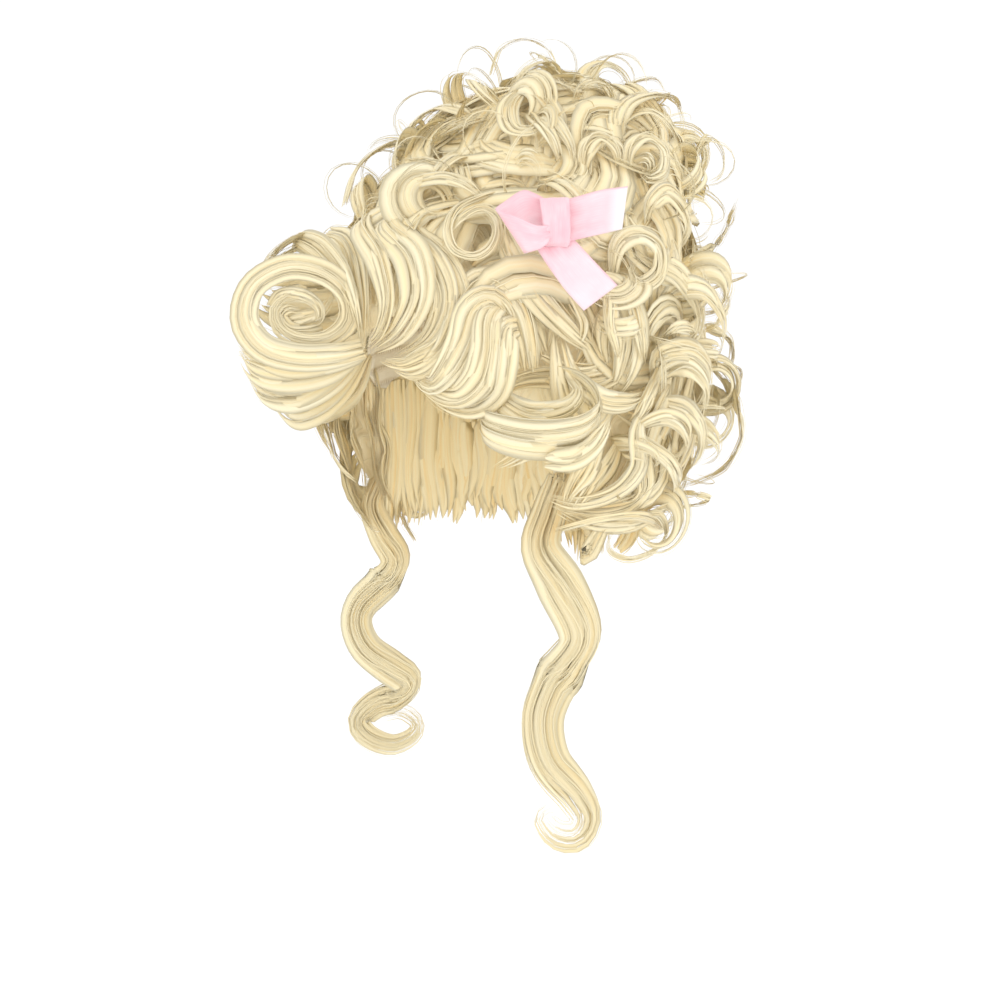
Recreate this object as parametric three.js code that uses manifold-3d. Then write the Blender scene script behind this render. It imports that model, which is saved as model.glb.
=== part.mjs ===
// A tall court wig in pale blonde: curls massed on a padded hair base over a cloth cap, rolled
// waves along the front hairline, a long ringlet hanging at each temple and a satin bow.
// Millimetres, +Z up. The wearer faces -Y and the wearer's left is +X. The origin is the inner
// top of the cap, where it sits on the crown of the head.
import * as THREE from "three";
import { mergeVertices } from "three/addons/utils/BufferGeometryUtils.js";
import Module from "manifold-3d";

const wasm = await Module();
wasm.setup();

// The head that the cap fits.
const headHalfBreadth = 77;
const headHalfLength = 97;
const crownDepth = 100;

// The cap, and the gap that pieces keep to each other.
const capWall = 2;
const pieceGap = 0.3;
const seatGap = 0.45;

// The padded hair base under the curls.
const towerRise = 88;
const napeDrop = 208;
const baseHalfWidth = 114;
const baseHalfDepth = 140;
const towerLean = 82;

// The curls: the largest ball that one fills, and how deep it is pressed into the base.
const curlBall = 36;
const curlSink = 9;
const curlTurns = 1.3;

// The rolled waves along the front hairline, each with the radius and half width of its band.
const frontRollRadius = 70;
const frontRollHalfWidth = 34;
const frontWaveRadius = 66;
const frontWaveHalfWidth = 15;
const foreheadLockRadius = 34;
const foreheadLockHalfWidth = 15;
const templeRollRadius = 22;
const templeRollHalfWidth = 34;

// The ringlets that hang in front of the ears.
const ringletLeftLength = 262;
const ringletRightLength = 196;
const ringletHalfWidth = 15;
const ringletHalfDepth = 12;
const ringletLeftSwing = 11;
const ringletRightSwing = 16;

// The bow, of satin ribbon, and the plain pin that holds it.
const ribbonWidth = 27;
const ribbonThickness = 1.2;
const bowLoopLength = 33;
const bowLoopHeight = 13;
const bowTailUpperLength = 42;
const bowTailLowerLength = 55;
const bowKnotHalfWidth = 10;
const bowKnotHalfHeight = 13;
const bowKnotHalfDepth = 6;
const bowPinRadius = 1.5;
const bowTailLift = 8;
const bowTailSag = 3;

// How far cutting shapes reach, as a share of what they cut, and where they end below.
const cutReach = 2;
const belowAll = cutReach * napeDrop;

// How far apart a slope is read, as a share of a length or in radians, and how finely the skin
// of the base is searched for.
const slopeStep = 0.02;
const skinStep = 0.5;

// Slivers finer than this are left out of a cut piece.
const finest = 0.02;

// Facets.
const headSides = 28;
const headRings = 5;
const baseSides = 26;
const curlSides = 6;
const curlSteps = 9;
const bandSides = 8;
const ringletSteps = 30;
const ribbonSteps = 9;
const knotSides = 10;
const pinBeads = 8;
const pinCapSteps = 2;

// Hem of the cap: azimuth from the front in degrees, and depth below the crown.
const capHem = [
  { azimuth: 0, depth: 0.52 },
  { azimuth: 38, depth: 0.6 },
  { azimuth: 62, depth: 1.02 },
  { azimuth: 78, depth: 1.14 },
  { azimuth: 96, depth: 1.02 },
  { azimuth: 130, depth: 1.42 },
  { azimuth: 180, depth: 1.72 },
];

// Sections of the base from the top down: height as a share of the rise, or of the drop where it
// is negative, half width, half depth, and how far back its middle lies.
const baseSections = [
  { height: 1.0, width: 0.06, depth: 0.05, back: 1.0 },
  { height: 0.97, width: 0.26, depth: 0.22, back: 1.0 },
  { height: 0.9, width: 0.42, depth: 0.34, back: 0.98 },
  { height: 0.7, width: 0.64, depth: 0.53, back: 0.93 },
  { height: 0.38, width: 0.78, depth: 0.67, back: 0.76 },
  { height: 0.1, width: 0.87, depth: 0.75, back: 0.52 },
  { height: -0.08, width: 0.93, depth: 0.88, back: 0.42 },
  { height: -0.22, width: 0.97, depth: 0.97, back: 0.34 },
  { height: -0.39, width: 1.0, depth: 1.0, back: 0.31 },
  { height: -0.58, width: 1.0, depth: 1.0, back: 0.3 },
  { height: -0.77, width: 0.97, depth: 0.95, back: 0.3 },
  { height: -0.9, width: 0.88, depth: 0.83, back: 0.32 },
  { height: -1.0, width: 0.8, depth: 0.7, back: 0.35 },
];

// Edge of the face opening, seen from the side: how far forward, of the head's half length, and
// how far below the crown, of the crown's depth.
const faceEdge = [
  { forward: 0.95, depth: 0.46 },
  { forward: 0.66, depth: 0.98 },
  { forward: 0.42, depth: 1.3 },
  { forward: 0.34, depth: 1.55 },
  { forward: 0.2, depth: 1.82 },
  { forward: 0, depth: 2.06 },
  { forward: 0, depth: 3 },
];

// Rows of curls: height on the base as its sections give it, azimuths of the first and last
// curl, heading of the first one's axis and how much the next one's turns, all in degrees, and
// size as a share of the largest ball.
const curlRows = [
  { name: "crown", count: 1, height: 1, from: 0, to: 0, heading: 20, veer: 0, size: 1 },
  { name: "tower", count: 6, height: 0.82, from: 0, to: 300, heading: 15, veer: 47, size: 1 },
  { name: "upper", count: 8, height: 0.4, from: 34, to: 312, heading: 80, veer: 71, size: 1 },
  { name: "brow", count: 1, height: 0.34, from: 5, to: 5, heading: 65, veer: 0, size: 0.9 },
  { name: "middle", count: 8, height: -0.16, from: 70, to: 290, heading: 30, veer: 83, size: 1 },
  { name: "ear", count: 7, height: -0.41, from: 86, to: 272, heading: 100, veer: 59, size: 1 },
  { name: "neck", count: 7, height: -0.68, from: 80, to: 268, heading: 10, veer: 77, size: 1 },
  { name: "nape", count: 5, height: -0.94, from: 104, to: 256, heading: 60, veer: 65, size: 1 },
];

// One curl's band, as shares of its ball, its girth at the tips and how late it tapers, and the
// turn that it starts at.
const curlShape = { reach: 0.45, travel: 0.41, width: 0.31, depth: 0.3, tip: 0.7, ease: 3, start: -90 };

// The bands of the front pieces, seen end-on from where their axis points: turn in degrees from
// the right, reach of the band's middle, its half width along the axis, its half depth, and how
// far forward on the axis it lies, all as shares of the piece's own radius or half width.
const frontRollShape = [
  { turn: -62, reach: 0.78, width: 0.4, depth: 0.08, along: 0.5 },
  { turn: -82, reach: 0.94, width: 0.8, depth: 0.14, along: 0.2 },
  { turn: -112, reach: 0.98, width: 1.0, depth: 0.17, along: 0 },
  { turn: -145, reach: 0.74, width: 1.0, depth: 0.15, along: 0 },
  { turn: -190, reach: 0.52, width: 1.0, depth: 0.13, along: 0 },
  { turn: -250, reach: 0.48, width: 1.0, depth: 0.12, along: 0 },
  { turn: -310, reach: 0.52, width: 1.0, depth: 0.12, along: 0 },
  { turn: -370, reach: 0.5, width: 0.95, depth: 0.11, along: 0 },
  { turn: -450, reach: 0.38, width: 0.85, depth: 0.1, along: 0 },
  { turn: -540, reach: 0.18, width: 0.7, depth: 0.08, along: 0 },
];
const frontWaveShape = [
  { turn: 38, reach: 1.2, width: 0.6, depth: 0.18, along: 0.4 },
  { turn: 20, reach: 1.24, width: 1.0, depth: 0.32, along: 0.7 },
  { turn: 0, reach: 1.22, width: 1.1, depth: 0.34, along: 0.7 },
  { turn: -22, reach: 1.14, width: 1.0, depth: 0.28, along: 0.7 },
  { turn: -44, reach: 1.12, width: 0.7, depth: 0.14, along: 0.5 },
];
const foreheadLockShape = [
  { turn: -35, reach: 0.6, width: 0.6, depth: 0.3, along: 0.4 },
  { turn: 20, reach: 0.66, width: 0.95, depth: 0.44, along: 0.6 },
  { turn: 90, reach: 0.72, width: 1.0, depth: 0.5, along: 0.7 },
  { turn: 160, reach: 0.8, width: 1.0, depth: 0.52, along: 0.7 },
  { turn: 215, reach: 1.15, width: 0.95, depth: 0.5, along: 0.7 },
  { turn: 243, reach: 1.55, width: 0.6, depth: 0.25, along: 0.5 },
];
const templeRollShape = [
  { turn: 150, reach: 0.98, width: 0.7, depth: 0.16, along: 0 },
  { turn: 60, reach: 0.86, width: 1.0, depth: 0.2, along: 0 },
  { turn: -30, reach: 0.84, width: 1.0, depth: 0.2, along: 0 },
  { turn: -120, reach: 0.8, width: 1.0, depth: 0.2, along: 0 },
  { turn: -210, reach: 0.62, width: 0.95, depth: 0.18, along: 0 },
  { turn: -330, reach: 0.3, width: 0.85, depth: 0.16, along: 0 },
];

// The front pieces: where each one's middle sits on the base and how far out as a share
// of its radius, the way that its axis faces, and the way along which it is laid on the base.
const frontPieces = [
  {
    name: "roll_front_right",
    shape: frontRollShape,
    radius: frontRollRadius,
    halfWidth: frontRollHalfWidth,
    steps: 25,
    seat: { azimuth: -31, height: -0.19, standoff: 0.42 },
    axis: { azimuth: 38, tilt: 8 },
  },
  {
    name: "wave_front",
    shape: frontWaveShape,
    radius: frontWaveRadius,
    halfWidth: frontWaveHalfWidth,
    steps: 9,
    seat: { azimuth: -31, height: -0.19, standoff: 0.42 },
    axis: { azimuth: 38, tilt: 8 },
    lies: { azimuth: 5 },
  },
  {
    name: "lock_forehead_left",
    shape: foreheadLockShape,
    radius: foreheadLockRadius,
    halfWidth: foreheadLockHalfWidth,
    steps: 12,
    seat: { azimuth: 30, height: -0.29, standoff: 0.3 },
    axis: { azimuth: 34, tilt: 6 },
    lies: { azimuth: 34 },
  },
  {
    name: "roll_temple_left",
    shape: templeRollShape,
    radius: templeRollRadius,
    halfWidth: templeRollHalfWidth,
    steps: 18,
    seat: { azimuth: 49, height: -0.56, standoff: 0.92 },
    axis: { azimuth: -26, tilt: 4 },
  },
  {
    name: "roll_temple_right",
    shape: templeRollShape,
    radius: templeRollRadius,
    halfWidth: templeRollHalfWidth,
    steps: 18,
    seat: { azimuth: -64, height: -0.56, standoff: 0.92 },
    axis: { azimuth: 30, tilt: 4 },
  },
];

// A ringlet from its root down: share of its turns, of its length, and of its swing and girth.
const ringletShape = [
  { turned: 0, drop: 0, swing: 0.3, girth: 0.55 },
  { turned: 0.16, drop: 0.15, swing: 0.9, girth: 0.95 },
  { turned: 0.5, drop: 0.5, swing: 1, girth: 1 },
  { turned: 0.8, drop: 0.88, swing: 1, girth: 0.82 },
  { turned: 0.93, drop: 0.99, swing: 1.1, girth: 0.55 },
  { turned: 1, drop: 1, swing: 0.9, girth: 0.3 },
];

// The ringlets: where each hangs, as shares of the base's half width and the head's half length,
// the level of its root below the crown, its turns, and the turn that it starts at.
const ringlets = [
  {
    name: "ringlet_left",
    length: ringletLeftLength,
    place: { across: 0.79, forward: 0.39, depth: 1.55 },
    turns: 1.85,
    start: 63,
    swing: ringletLeftSwing,
  },
  {
    name: "ringlet_right",
    length: ringletRightLength,
    place: { across: -0.73, forward: 0.2, depth: 1.8 },
    turns: -2.4,
    start: 298,
    swing: ringletRightSwing,
  },
];

// Where the bow is pinned on the base, the way it faces, and its parts' angles, in degrees.
const bowAzimuth = 46;
const bowHeight = -0.02;
const bowFacing = { azimuth: 42, tilt: 14 };
const bowAngles = { loop: -6, upper: 12, lower: -57 };

const radians = THREE.MathUtils.degToRad;

// Reads a table at a place between its rows, by the column that orders them.
function readTable(rows, orderedBy, place) {
  const way = Math.sign(rows.at(-1)[orderedBy] - rows[0][orderedBy]);
  let i = 1;
  while (i < rows.length - 1 && way * rows[i][orderedBy] < way * place) {
    i++;
  }
  const [before, after] = [rows[i - 1], rows[i]];
  const span = after[orderedBy] - before[orderedBy];
  const share = THREE.MathUtils.clamp((place - before[orderedBy]) / span, 0, 1);
  const read = {};
  for (const column of Object.keys(before)) {
    read[column] = THREE.MathUtils.lerp(before[column], after[column], share);
  }
  return read;
}

// Joins rings of points into one closed skin, each end closed round a middle point.
function loft(rings, first = middleOf(rings[0]), last = middleOf(rings.at(-1))) {
  const sides = rings[0].length;
  const points = [first, ...rings.flat(), last];
  const lastRing = 1 + (rings.length - 1) * sides;
  const faces = [];
  for (let j = 0; j < sides; j++) {
    const next = (j + 1) % sides;
    faces.push([0, 1 + next, 1 + j]);
    for (let start = 1; start < lastRing; start += sides) {
      faces.push([start + j, start + next, start + sides + next]);
      faces.push([start + j, start + sides + next, start + sides + j]);
    }
    faces.push([lastRing + j, lastRing + next, points.length - 1]);
  }
  if (volumeOf(points, faces) < 0) {
    faces.forEach((face) => face.reverse());
  }
  return new THREE.BufferGeometry().setFromPoints(points).setIndex(faces.flat());
}

function middleOf(ring) {
  const sum = ring.reduce((total, point) => total.add(point), new THREE.Vector3());
  return sum.divideScalar(ring.length);
}

function volumeOf(points, faces) {
  const cross = new THREE.Vector3();
  const sixfold = faces.map(([a, b, c]) => cross.crossVectors(points[a], points[b]).dot(points[c]));
  return sixfold.reduce((total, part) => total + part, 0) / 6;
}

function solidOf(geometry) {
  const bare = new THREE.BufferGeometry().setIndex(geometry.index);
  bare.setAttribute("position", geometry.getAttribute("position"));
  const merged = mergeVertices(bare);
  const vertProperties = merged.getAttribute("position").array;
  const triVerts = new Uint32Array(merged.index.array);
  return new wasm.Manifold(new wasm.Mesh({ numProp: 3, vertProperties, triVerts }));
}

function geometryOf(solid) {
  const { vertProperties, triVerts } = solid.simplify(finest).getMesh();
  const geometry = new THREE.BufferGeometry();
  geometry.setAttribute("position", new THREE.BufferAttribute(vertProperties, 3));
  geometry.setIndex(new THREE.BufferAttribute(triVerts, 1));
  return geometry;
}

// The way that something faces, and its right and up as seen from there.
function facing(azimuth, tilt) {
  const [around, lift] = [radians(azimuth), radians(tilt)];
  const right = new THREE.Vector3(Math.cos(around), Math.sin(around), 0);
  const axis = new THREE.Vector3(Math.sin(around), -Math.cos(around), 0);
  axis.multiplyScalar(Math.cos(lift)).setZ(Math.sin(lift));
  const up = new THREE.Vector3().crossVectors(axis, right);
  return new THREE.Matrix4().makeBasis(right, up, axis);
}

// A head form, grown all round, that runs straight down below its widest level.
function headPoint(azimuth, depth, grown) {
  const above = Math.max(0, 1 - depth / crownDepth);
  const spread = Math.sqrt(1 - above * above);
  const x = (headHalfBreadth + grown) * spread * Math.sin(azimuth);
  const y = -(headHalfLength + grown) * spread * Math.cos(azimuth);
  const z = above > 0 ? (crownDepth + grown) * above - crownDepth : -depth;
  return new THREE.Vector3(x, y, z);
}

// A closed head form, its rings spaced evenly over the dome and then one at the bottom.
function headForm(grown, bottom) {
  const ring = (depth) =>
    Array.from({ length: headSides }, (_, j) => headPoint((j * 2 * Math.PI) / headSides, depth, grown));
  const rings = Array.from({ length: headRings }, (_, i) =>
    ring(crownDepth * (1 - Math.cos(((i + 1) * Math.PI) / 2 / headRings))),
  );
  rings.push(ring(bottom));
  return solidOf(loft(rings, headPoint(0, 0, grown)));
}

// Everything below the hem of the cap.
function belowHem() {
  const ring = (spread, levelAt) =>
    Array.from({ length: headSides }, (_, j) => {
      const turn = (j * 360) / headSides;
      const x = headHalfBreadth * spread * Math.sin(radians(turn));
      const y = -headHalfLength * spread * Math.cos(radians(turn));
      return new THREE.Vector3(x, y, levelAt(Math.min(turn, 360 - turn)));
    });
  const hemLevel = (turn) => -crownDepth * readTable(capHem, "azimuth", turn).depth;
  const skirt = [ring(1 / cutReach, hemLevel), ring(cutReach, hemLevel)];
  return solidOf(loft([...skirt, ring(cutReach, () => -cutReach * belowAll)]));
}

// A point of the base's skin, at an azimuth from the front and a height as its sections give it.
function basePoint(azimuth, height, grown = 0) {
  const section = readTable(baseSections, "height", height);
  const rise = height > 0 ? towerRise : napeDrop;
  const x = (baseHalfWidth * section.width + grown) * Math.sin(azimuth);
  const y = towerLean * section.back - (baseHalfDepth * section.depth + grown) * Math.cos(azimuth);
  return new THREE.Vector3(x, y, rise * height + grown * Math.sign(height));
}

// Where something sits on the base: the point, and its way out, round and up.
function baseSeat(azimuthDegrees, height) {
  const azimuth = radians(azimuthDegrees);
  const point = basePoint(azimuth, height);
  const behind = basePoint(azimuth - slopeStep, height);
  const round = basePoint(azimuth + slopeStep, height).sub(behind).normalize();
  const higher = basePoint(azimuth, Math.min(height + slopeStep, baseSections[0].height));
  const lower = basePoint(azimuth, Math.max(height - slopeStep, baseSections.at(-1).height));
  const rising = higher.sub(lower).normalize();
  const out = new THREE.Vector3().crossVectors(round, rising).normalize();
  const up = new THREE.Vector3().crossVectors(out, round).normalize();
  return { point, out, round, up };
}

function baseForm(grown = 0) {
  const rings = baseSections.map(({ height }) =>
    Array.from({ length: baseSides }, (_, j) => basePoint((j * 2 * Math.PI) / baseSides, height, grown)),
  );
  return loft(rings);
}

function faceOpening() {
  const front = cutReach * baseHalfDepth;
  const side = cutReach * baseHalfWidth;
  const edge = faceEdge.map(({ forward, depth }) => [-forward * headHalfLength, -depth * crownDepth]);
  const outline = new THREE.Shape();
  outline.moveTo(-front, edge[0][1]);
  edge.forEach(([y, z]) => outline.lineTo(y, z));
  outline.lineTo(-front, edge.at(-1)[1]);
  const block = new THREE.ExtrudeGeometry(outline, { depth: 2 * side, bevelEnabled: false });
  block.translate(0, 0, -side);
  const [x, y, z] = [new THREE.Vector3(1, 0, 0), new THREE.Vector3(0, 1, 0), new THREE.Vector3(0, 0, 1)];
  return block.applyMatrix4(new THREE.Matrix4().makeBasis(y, z, x));
}

// A band that turns round its frame's Z axis. Each station gives its turn, reach, place along the
// axis, and its section's half width along the axis and half depth across it, and may be shifted.
function spiralBand(stations, sides, frame) {
  const rings = stations.map(({ turn, reach, along, width, depth, shift }) => {
    const out = new THREE.Vector3(Math.cos(turn), Math.sin(turn), 0);
    return Array.from({ length: sides }, (_, k) => {
      const round = (k * 2 * Math.PI) / sides;
      const point = out.clone().multiplyScalar(reach + depth * Math.sin(round));
      point.setZ(along + width * Math.cos(round)).applyMatrix4(frame);
      return shift ? point.add(shift) : point;
    });
  });
  return loft(rings);
}

function stationsOf({ shape, radius, halfWidth, steps }) {
  const [first, last] = [shape[0].turn, shape.at(-1).turn];
  return Array.from({ length: steps + 1 }, (_, i) => {
    const row = readTable(shape, "turn", THREE.MathUtils.lerp(first, last, i / steps));
    return {
      turn: radians(row.turn),
      reach: row.reach * radius,
      along: row.along * halfWidth,
      width: row.width * halfWidth,
      depth: row.depth * radius,
    };
  });
}

// How far along a level way the base's skin lies from a point, coming in from outside. Where the
// line passes beside the base, it is where it passes nearest.
function skinAlong(point, way) {
  const reach = cutReach * baseHalfWidth;
  const probe = new THREE.Vector3();
  const nearest = { spread: Infinity, along: 0 };
  const section = readTable(baseSections, "height", point.z / (point.z > 0 ? towerRise : napeDrop));
  for (let along = reach; along > -reach; along -= skinStep) {
    probe.copy(point).addScaledVector(way, along);
    const across = probe.x / (baseHalfWidth * section.width);
    const back = (probe.y - towerLean * section.back) / (baseHalfDepth * section.depth);
    const spread = Math.hypot(across, back);
    if (spread < nearest.spread) {
      Object.assign(nearest, { spread, along });
    }
    if (spread < 1) {
      break;
    }
  }
  return nearest.along;
}

// Lays a band's stations on the base along a level way, each as proud of its skin as it was of
// its frame's middle.
function layOnBase(stations, frame, azimuth) {
  const way = new THREE.Vector3(Math.sin(radians(azimuth)), -Math.cos(radians(azimuth)), 0);
  for (const station of stations) {
    const middle = new THREE.Vector3(Math.cos(station.turn), Math.sin(station.turn), 0);
    middle.multiplyScalar(station.reach).applyMatrix4(frame);
    station.shift = way.clone().multiplyScalar(skinAlong(middle, way));
  }
}

// Balls that fill a band, so that other pieces can keep clear of it.
function beadsOf(stations, frame) {
  return stations.flatMap(({ turn, reach, along, width, depth, shift }) => {
    const count = Math.max(1, Math.ceil(width / depth));
    return Array.from({ length: count }, (_, i) => {
      const across = along + width * ((2 * i + 1) / count - 1);
      const centre = new THREE.Vector3(Math.cos(turn) * reach, Math.sin(turn) * reach, across);
      centre.applyMatrix4(frame);
      if (shift) {
        centre.add(shift);
      }
      return { centre, radius: Math.hypot(width / count, depth) };
    });
  });
}

const seatForm = solidOf(baseForm(seatGap)).subtract(
  solidOf(faceOpening().translate(0, -seatGap, -seatGap)),
);

// What of a piece lies outside the base, clear of it by the seat's gap.
function seated(geometry) {
  return geometryOf(solidOf(geometry).subtract(seatForm));
}

function addMesh(name, geometry, material, parent = wig) {
  const mesh = new THREE.Mesh(geometry, material.clone());
  mesh.name = name;
  parent.add(mesh);
}

const hair = new THREE.MeshStandardMaterial({ color: 0xeadfb4, roughness: 0.42, metalness: 0 });
const massedHair = new THREE.MeshStandardMaterial({ color: 0xd6c68f, roughness: 0.55, metalness: 0 });
const capCloth = new THREE.MeshStandardMaterial({ color: 0xd9cba6, roughness: 0.9, metalness: 0 });
const satin = new THREE.MeshStandardMaterial({ color: 0xffc2d0, roughness: 0.3, metalness: 0 });
const pinWire = new THREE.MeshStandardMaterial({ color: 0x8a8f94, roughness: 0.35, metalness: 1 });

const wig = new THREE.Group();

const capShell = headForm(capWall, belowAll).subtract(headForm(0, belowAll + capWall));
addMesh("wig_cap", geometryOf(capShell.subtract(belowHem())), capCloth);

const headHollow = headForm(capWall + pieceGap, belowAll);
const base = solidOf(baseForm()).subtract(headHollow).subtract(solidOf(faceOpening()));
addMesh("hair_base", geometryOf(base), massedHair);

const obstacles = [];
for (const piece of frontPieces) {
  const { point, out } = baseSeat(piece.seat.azimuth, piece.seat.height);
  const frame = facing(piece.axis.azimuth, piece.axis.tilt);
  frame.setPosition(point.addScaledVector(out, piece.seat.standoff * piece.radius));
  const stations = stationsOf(piece);
  if (piece.lies) {
    layOnBase(stations, frame, piece.lies.azimuth);
  }
  addMesh(piece.name, seated(spiralBand(stations, bandSides, frame)), hair);
  obstacles.push(...beadsOf(stations, frame));
}

// The bow stands just clear of the tallest curl, over the place where it is pinned.
const curlFill = curlShape.reach + curlShape.depth;
const bowSeat = baseSeat(bowAzimuth, bowHeight);
const bowStandoff = 2 * curlBall * curlFill - curlSink + bowTailSag + pieceGap;
for (let i = 0; i <= pinBeads; i++) {
  const centre = bowSeat.point.clone().addScaledVector(bowSeat.out, (i / pinBeads) * bowStandoff);
  obstacles.push({ centre, radius: bowPinRadius });
}

// Each curl fills a ball on the base, as large as its neighbours and the front pieces leave it.
const curls = curlRows.flatMap((row) =>
  Array.from({ length: row.count }, (_, i) => {
    const share = row.count > 1 ? i / (row.count - 1) : 0;
    const seat = baseSeat(THREE.MathUtils.lerp(row.from, row.to, share), row.height);
    const ball = curlBall * row.size;
    const centre = seat.point.clone().addScaledVector(seat.out, ball * curlFill - curlSink);
    return { name: `curl_${row.name}_${i + 1}`, seat, ball, centre, heading: row.heading + i * row.veer };
  }),
);
for (const curl of curls) {
  const apart = curls
    .filter((other) => other !== curl)
    .map((other) => curl.centre.distanceTo(other.centre) / 2 - pieceGap / 2);
  const clear = obstacles.map(({ centre, radius }) => curl.centre.distanceTo(centre) - radius - pieceGap);
  curl.room = Math.min(curl.ball, ...apart, ...clear);
}
for (const curl of curls) {
  const { seat, room } = curl;
  const stations = Array.from({ length: curlSteps }, (_, i) => {
    const share = i / (curlSteps - 1);
    const taper = 1 - (1 - curlShape.tip) * Math.pow(Math.abs(2 * share - 1), curlShape.ease);
    return {
      turn: 2 * Math.PI * curlTurns * share + radians(curlShape.start),
      reach: curlShape.reach * room,
      along: curlShape.travel * room * (2 * share - 1),
      width: curlShape.width * room * taper,
      depth: curlShape.depth * room * taper,
    };
  });
  const heading = radians(curl.heading);
  const axis = seat.round.clone().multiplyScalar(Math.cos(heading));
  axis.addScaledVector(seat.up, Math.sin(heading));
  const side = new THREE.Vector3().crossVectors(seat.out, axis);
  const standoff = room * curlFill - (curlSink * room) / curlBall;
  const centre = seat.point.clone().addScaledVector(seat.out, standoff);
  const frame = new THREE.Matrix4().makeBasis(side, seat.out, axis).setPosition(centre);
  addMesh(curl.name, seated(spiralBand(stations, curlSides, frame)), hair);
}

function ringletGeometry({ length, place, turns, start, swing }) {
  const top = new THREE.Vector3(place.across * baseHalfWidth, -place.forward * headHalfLength, 0);
  top.setZ(-place.depth * crownDepth);
  const centreAt = (share) => {
    const row = readTable(ringletShape, "turned", share);
    const turn = radians(start) + 2 * Math.PI * turns * share;
    const [x, y] = [Math.cos(turn) * swing * row.swing, Math.sin(turn) * swing * row.swing];
    return new THREE.Vector3(x, y, -length * row.drop).add(top);
  };
  const rings = Array.from({ length: ringletSteps + 1 }, (_, i) => {
    const share = i / ringletSteps;
    const row = readTable(ringletShape, "turned", share);
    const centre = centreAt(share);
    const before = centreAt(Math.max(0, share - slopeStep));
    const along = centreAt(Math.min(1, share + slopeStep)).sub(before).normalize();
    const out = centre.clone().sub(top).setZ(0);
    out.addScaledVector(along, -out.dot(along)).normalize();
    const side = new THREE.Vector3().crossVectors(along, out);
    return Array.from({ length: bandSides }, (_, k) => {
      const round = (k * 2 * Math.PI) / bandSides;
      const point = centre.clone().addScaledVector(out, ringletHalfDepth * row.girth * Math.cos(round));
      return point.addScaledVector(side, ringletHalfWidth * row.girth * Math.sin(round));
    });
  });
  return loft(rings);
}

for (const ringlet of ringlets) addMesh(ringlet.name, seated(ringletGeometry(ringlet)), hair);

// The bow, in a group of its own: X to its right, Y up and Z out of the hair.
const bow = new THREE.Group();
const bowFrame = facing(bowFacing.azimuth, bowFacing.tilt);
const bowAxis = new THREE.Vector3().setFromMatrixColumn(bowFrame, 2);
const bowPlace = bowSeat.point.clone().addScaledVector(bowSeat.out, bowStandoff);
bow.applyMatrix4(bowFrame.setPosition(bowPlace));
wig.add(bow);

// A length of ribbon from an outline of its edge, in X and Z, turned in the bow's plane.
function ribbon(outline, angle) {
  const strip = new THREE.ExtrudeGeometry(outline, {
    depth: ribbonWidth,
    bevelEnabled: false,
    curveSegments: ribbonSteps,
  });
  strip.translate(0, 0, -ribbonWidth / 2);
  return strip.rotateX(Math.PI / 2).rotateZ(radians(angle));
}

// A tail that leaves the knot's underside at a level and bends out of the bow's plane.
function tailOutline(length, level, bend) {
  const outline = new THREE.Shape();
  outline.moveTo(0, level);
  outline.quadraticCurveTo(length / 2, level, length, level + bend);
  outline.lineTo(length, level + bend - ribbonThickness);
  outline.quadraticCurveTo(length / 2, level - ribbonThickness, 0, level - ribbonThickness);
  return outline;
}

function loopOutline() {
  const [halfLength, halfHeight] = [bowLoopLength / 2, bowLoopHeight / 2];
  const middle = -bowKnotHalfWidth - pieceGap - halfLength;
  const outline = new THREE.Shape();
  outline.absellipse(middle, halfHeight, halfLength, halfHeight, 0, 2 * Math.PI);
  const inside = new THREE.Path();
  const [innerLength, innerHeight] = [halfLength - ribbonThickness, halfHeight - ribbonThickness];
  inside.absellipse(middle, halfHeight, innerLength, innerHeight, 0, 2 * Math.PI);
  outline.holes.push(inside);
  return outline;
}

const upperLevel = -pieceGap;
const lowerLevel = upperLevel - ribbonThickness - pieceGap;
const pinLevel = lowerLevel - ribbonThickness - pieceGap;
const knot = new THREE.SphereGeometry(1, knotSides, knotSides / 2);
knot.scale(bowKnotHalfWidth, bowKnotHalfHeight, bowKnotHalfDepth).translate(0, 0, bowKnotHalfDepth);
addMesh("bow_knot", knot, satin, bow);
addMesh("bow_loop", ribbon(loopOutline(), bowAngles.loop), satin, bow);
const upperTail = tailOutline(bowTailUpperLength, upperLevel, bowTailLift);
addMesh("bow_tail_upper", ribbon(upperTail, bowAngles.upper), satin, bow);
const lowerTail = tailOutline(bowTailLowerLength, lowerLevel, -bowTailSag);
addMesh("bow_tail_lower", ribbon(lowerTail, bowAngles.lower), satin, bow);

// The pin, from under the lower tail into the base, where it is cut off clear of it.
const pinTop = bowPlace.clone().addScaledVector(bowAxis, pinLevel - bowPinRadius);
const pinFoot = bowSeat.point.clone().addScaledVector(bowSeat.out, -curlSink);
const pinLength = pinTop.distanceTo(pinFoot);
const pinWay = new THREE.Vector3().subVectors(pinTop, pinFoot).normalize();
const pinTurn = new THREE.Quaternion().setFromUnitVectors(new THREE.Vector3(0, 1, 0), pinWay);
const pin = new THREE.CapsuleGeometry(bowPinRadius, pinLength, pinCapSteps, bandSides);
pin.translate(0, pinLength / 2, 0).applyQuaternion(pinTurn).translate(...pinFoot.toArray());
addMesh("bow_pin", seated(pin), pinWire);

export default wig;
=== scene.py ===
import math

import bmesh
import bpy
import numpy as np
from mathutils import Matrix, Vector
from mathutils.bvhtree import BVHTree


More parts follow.
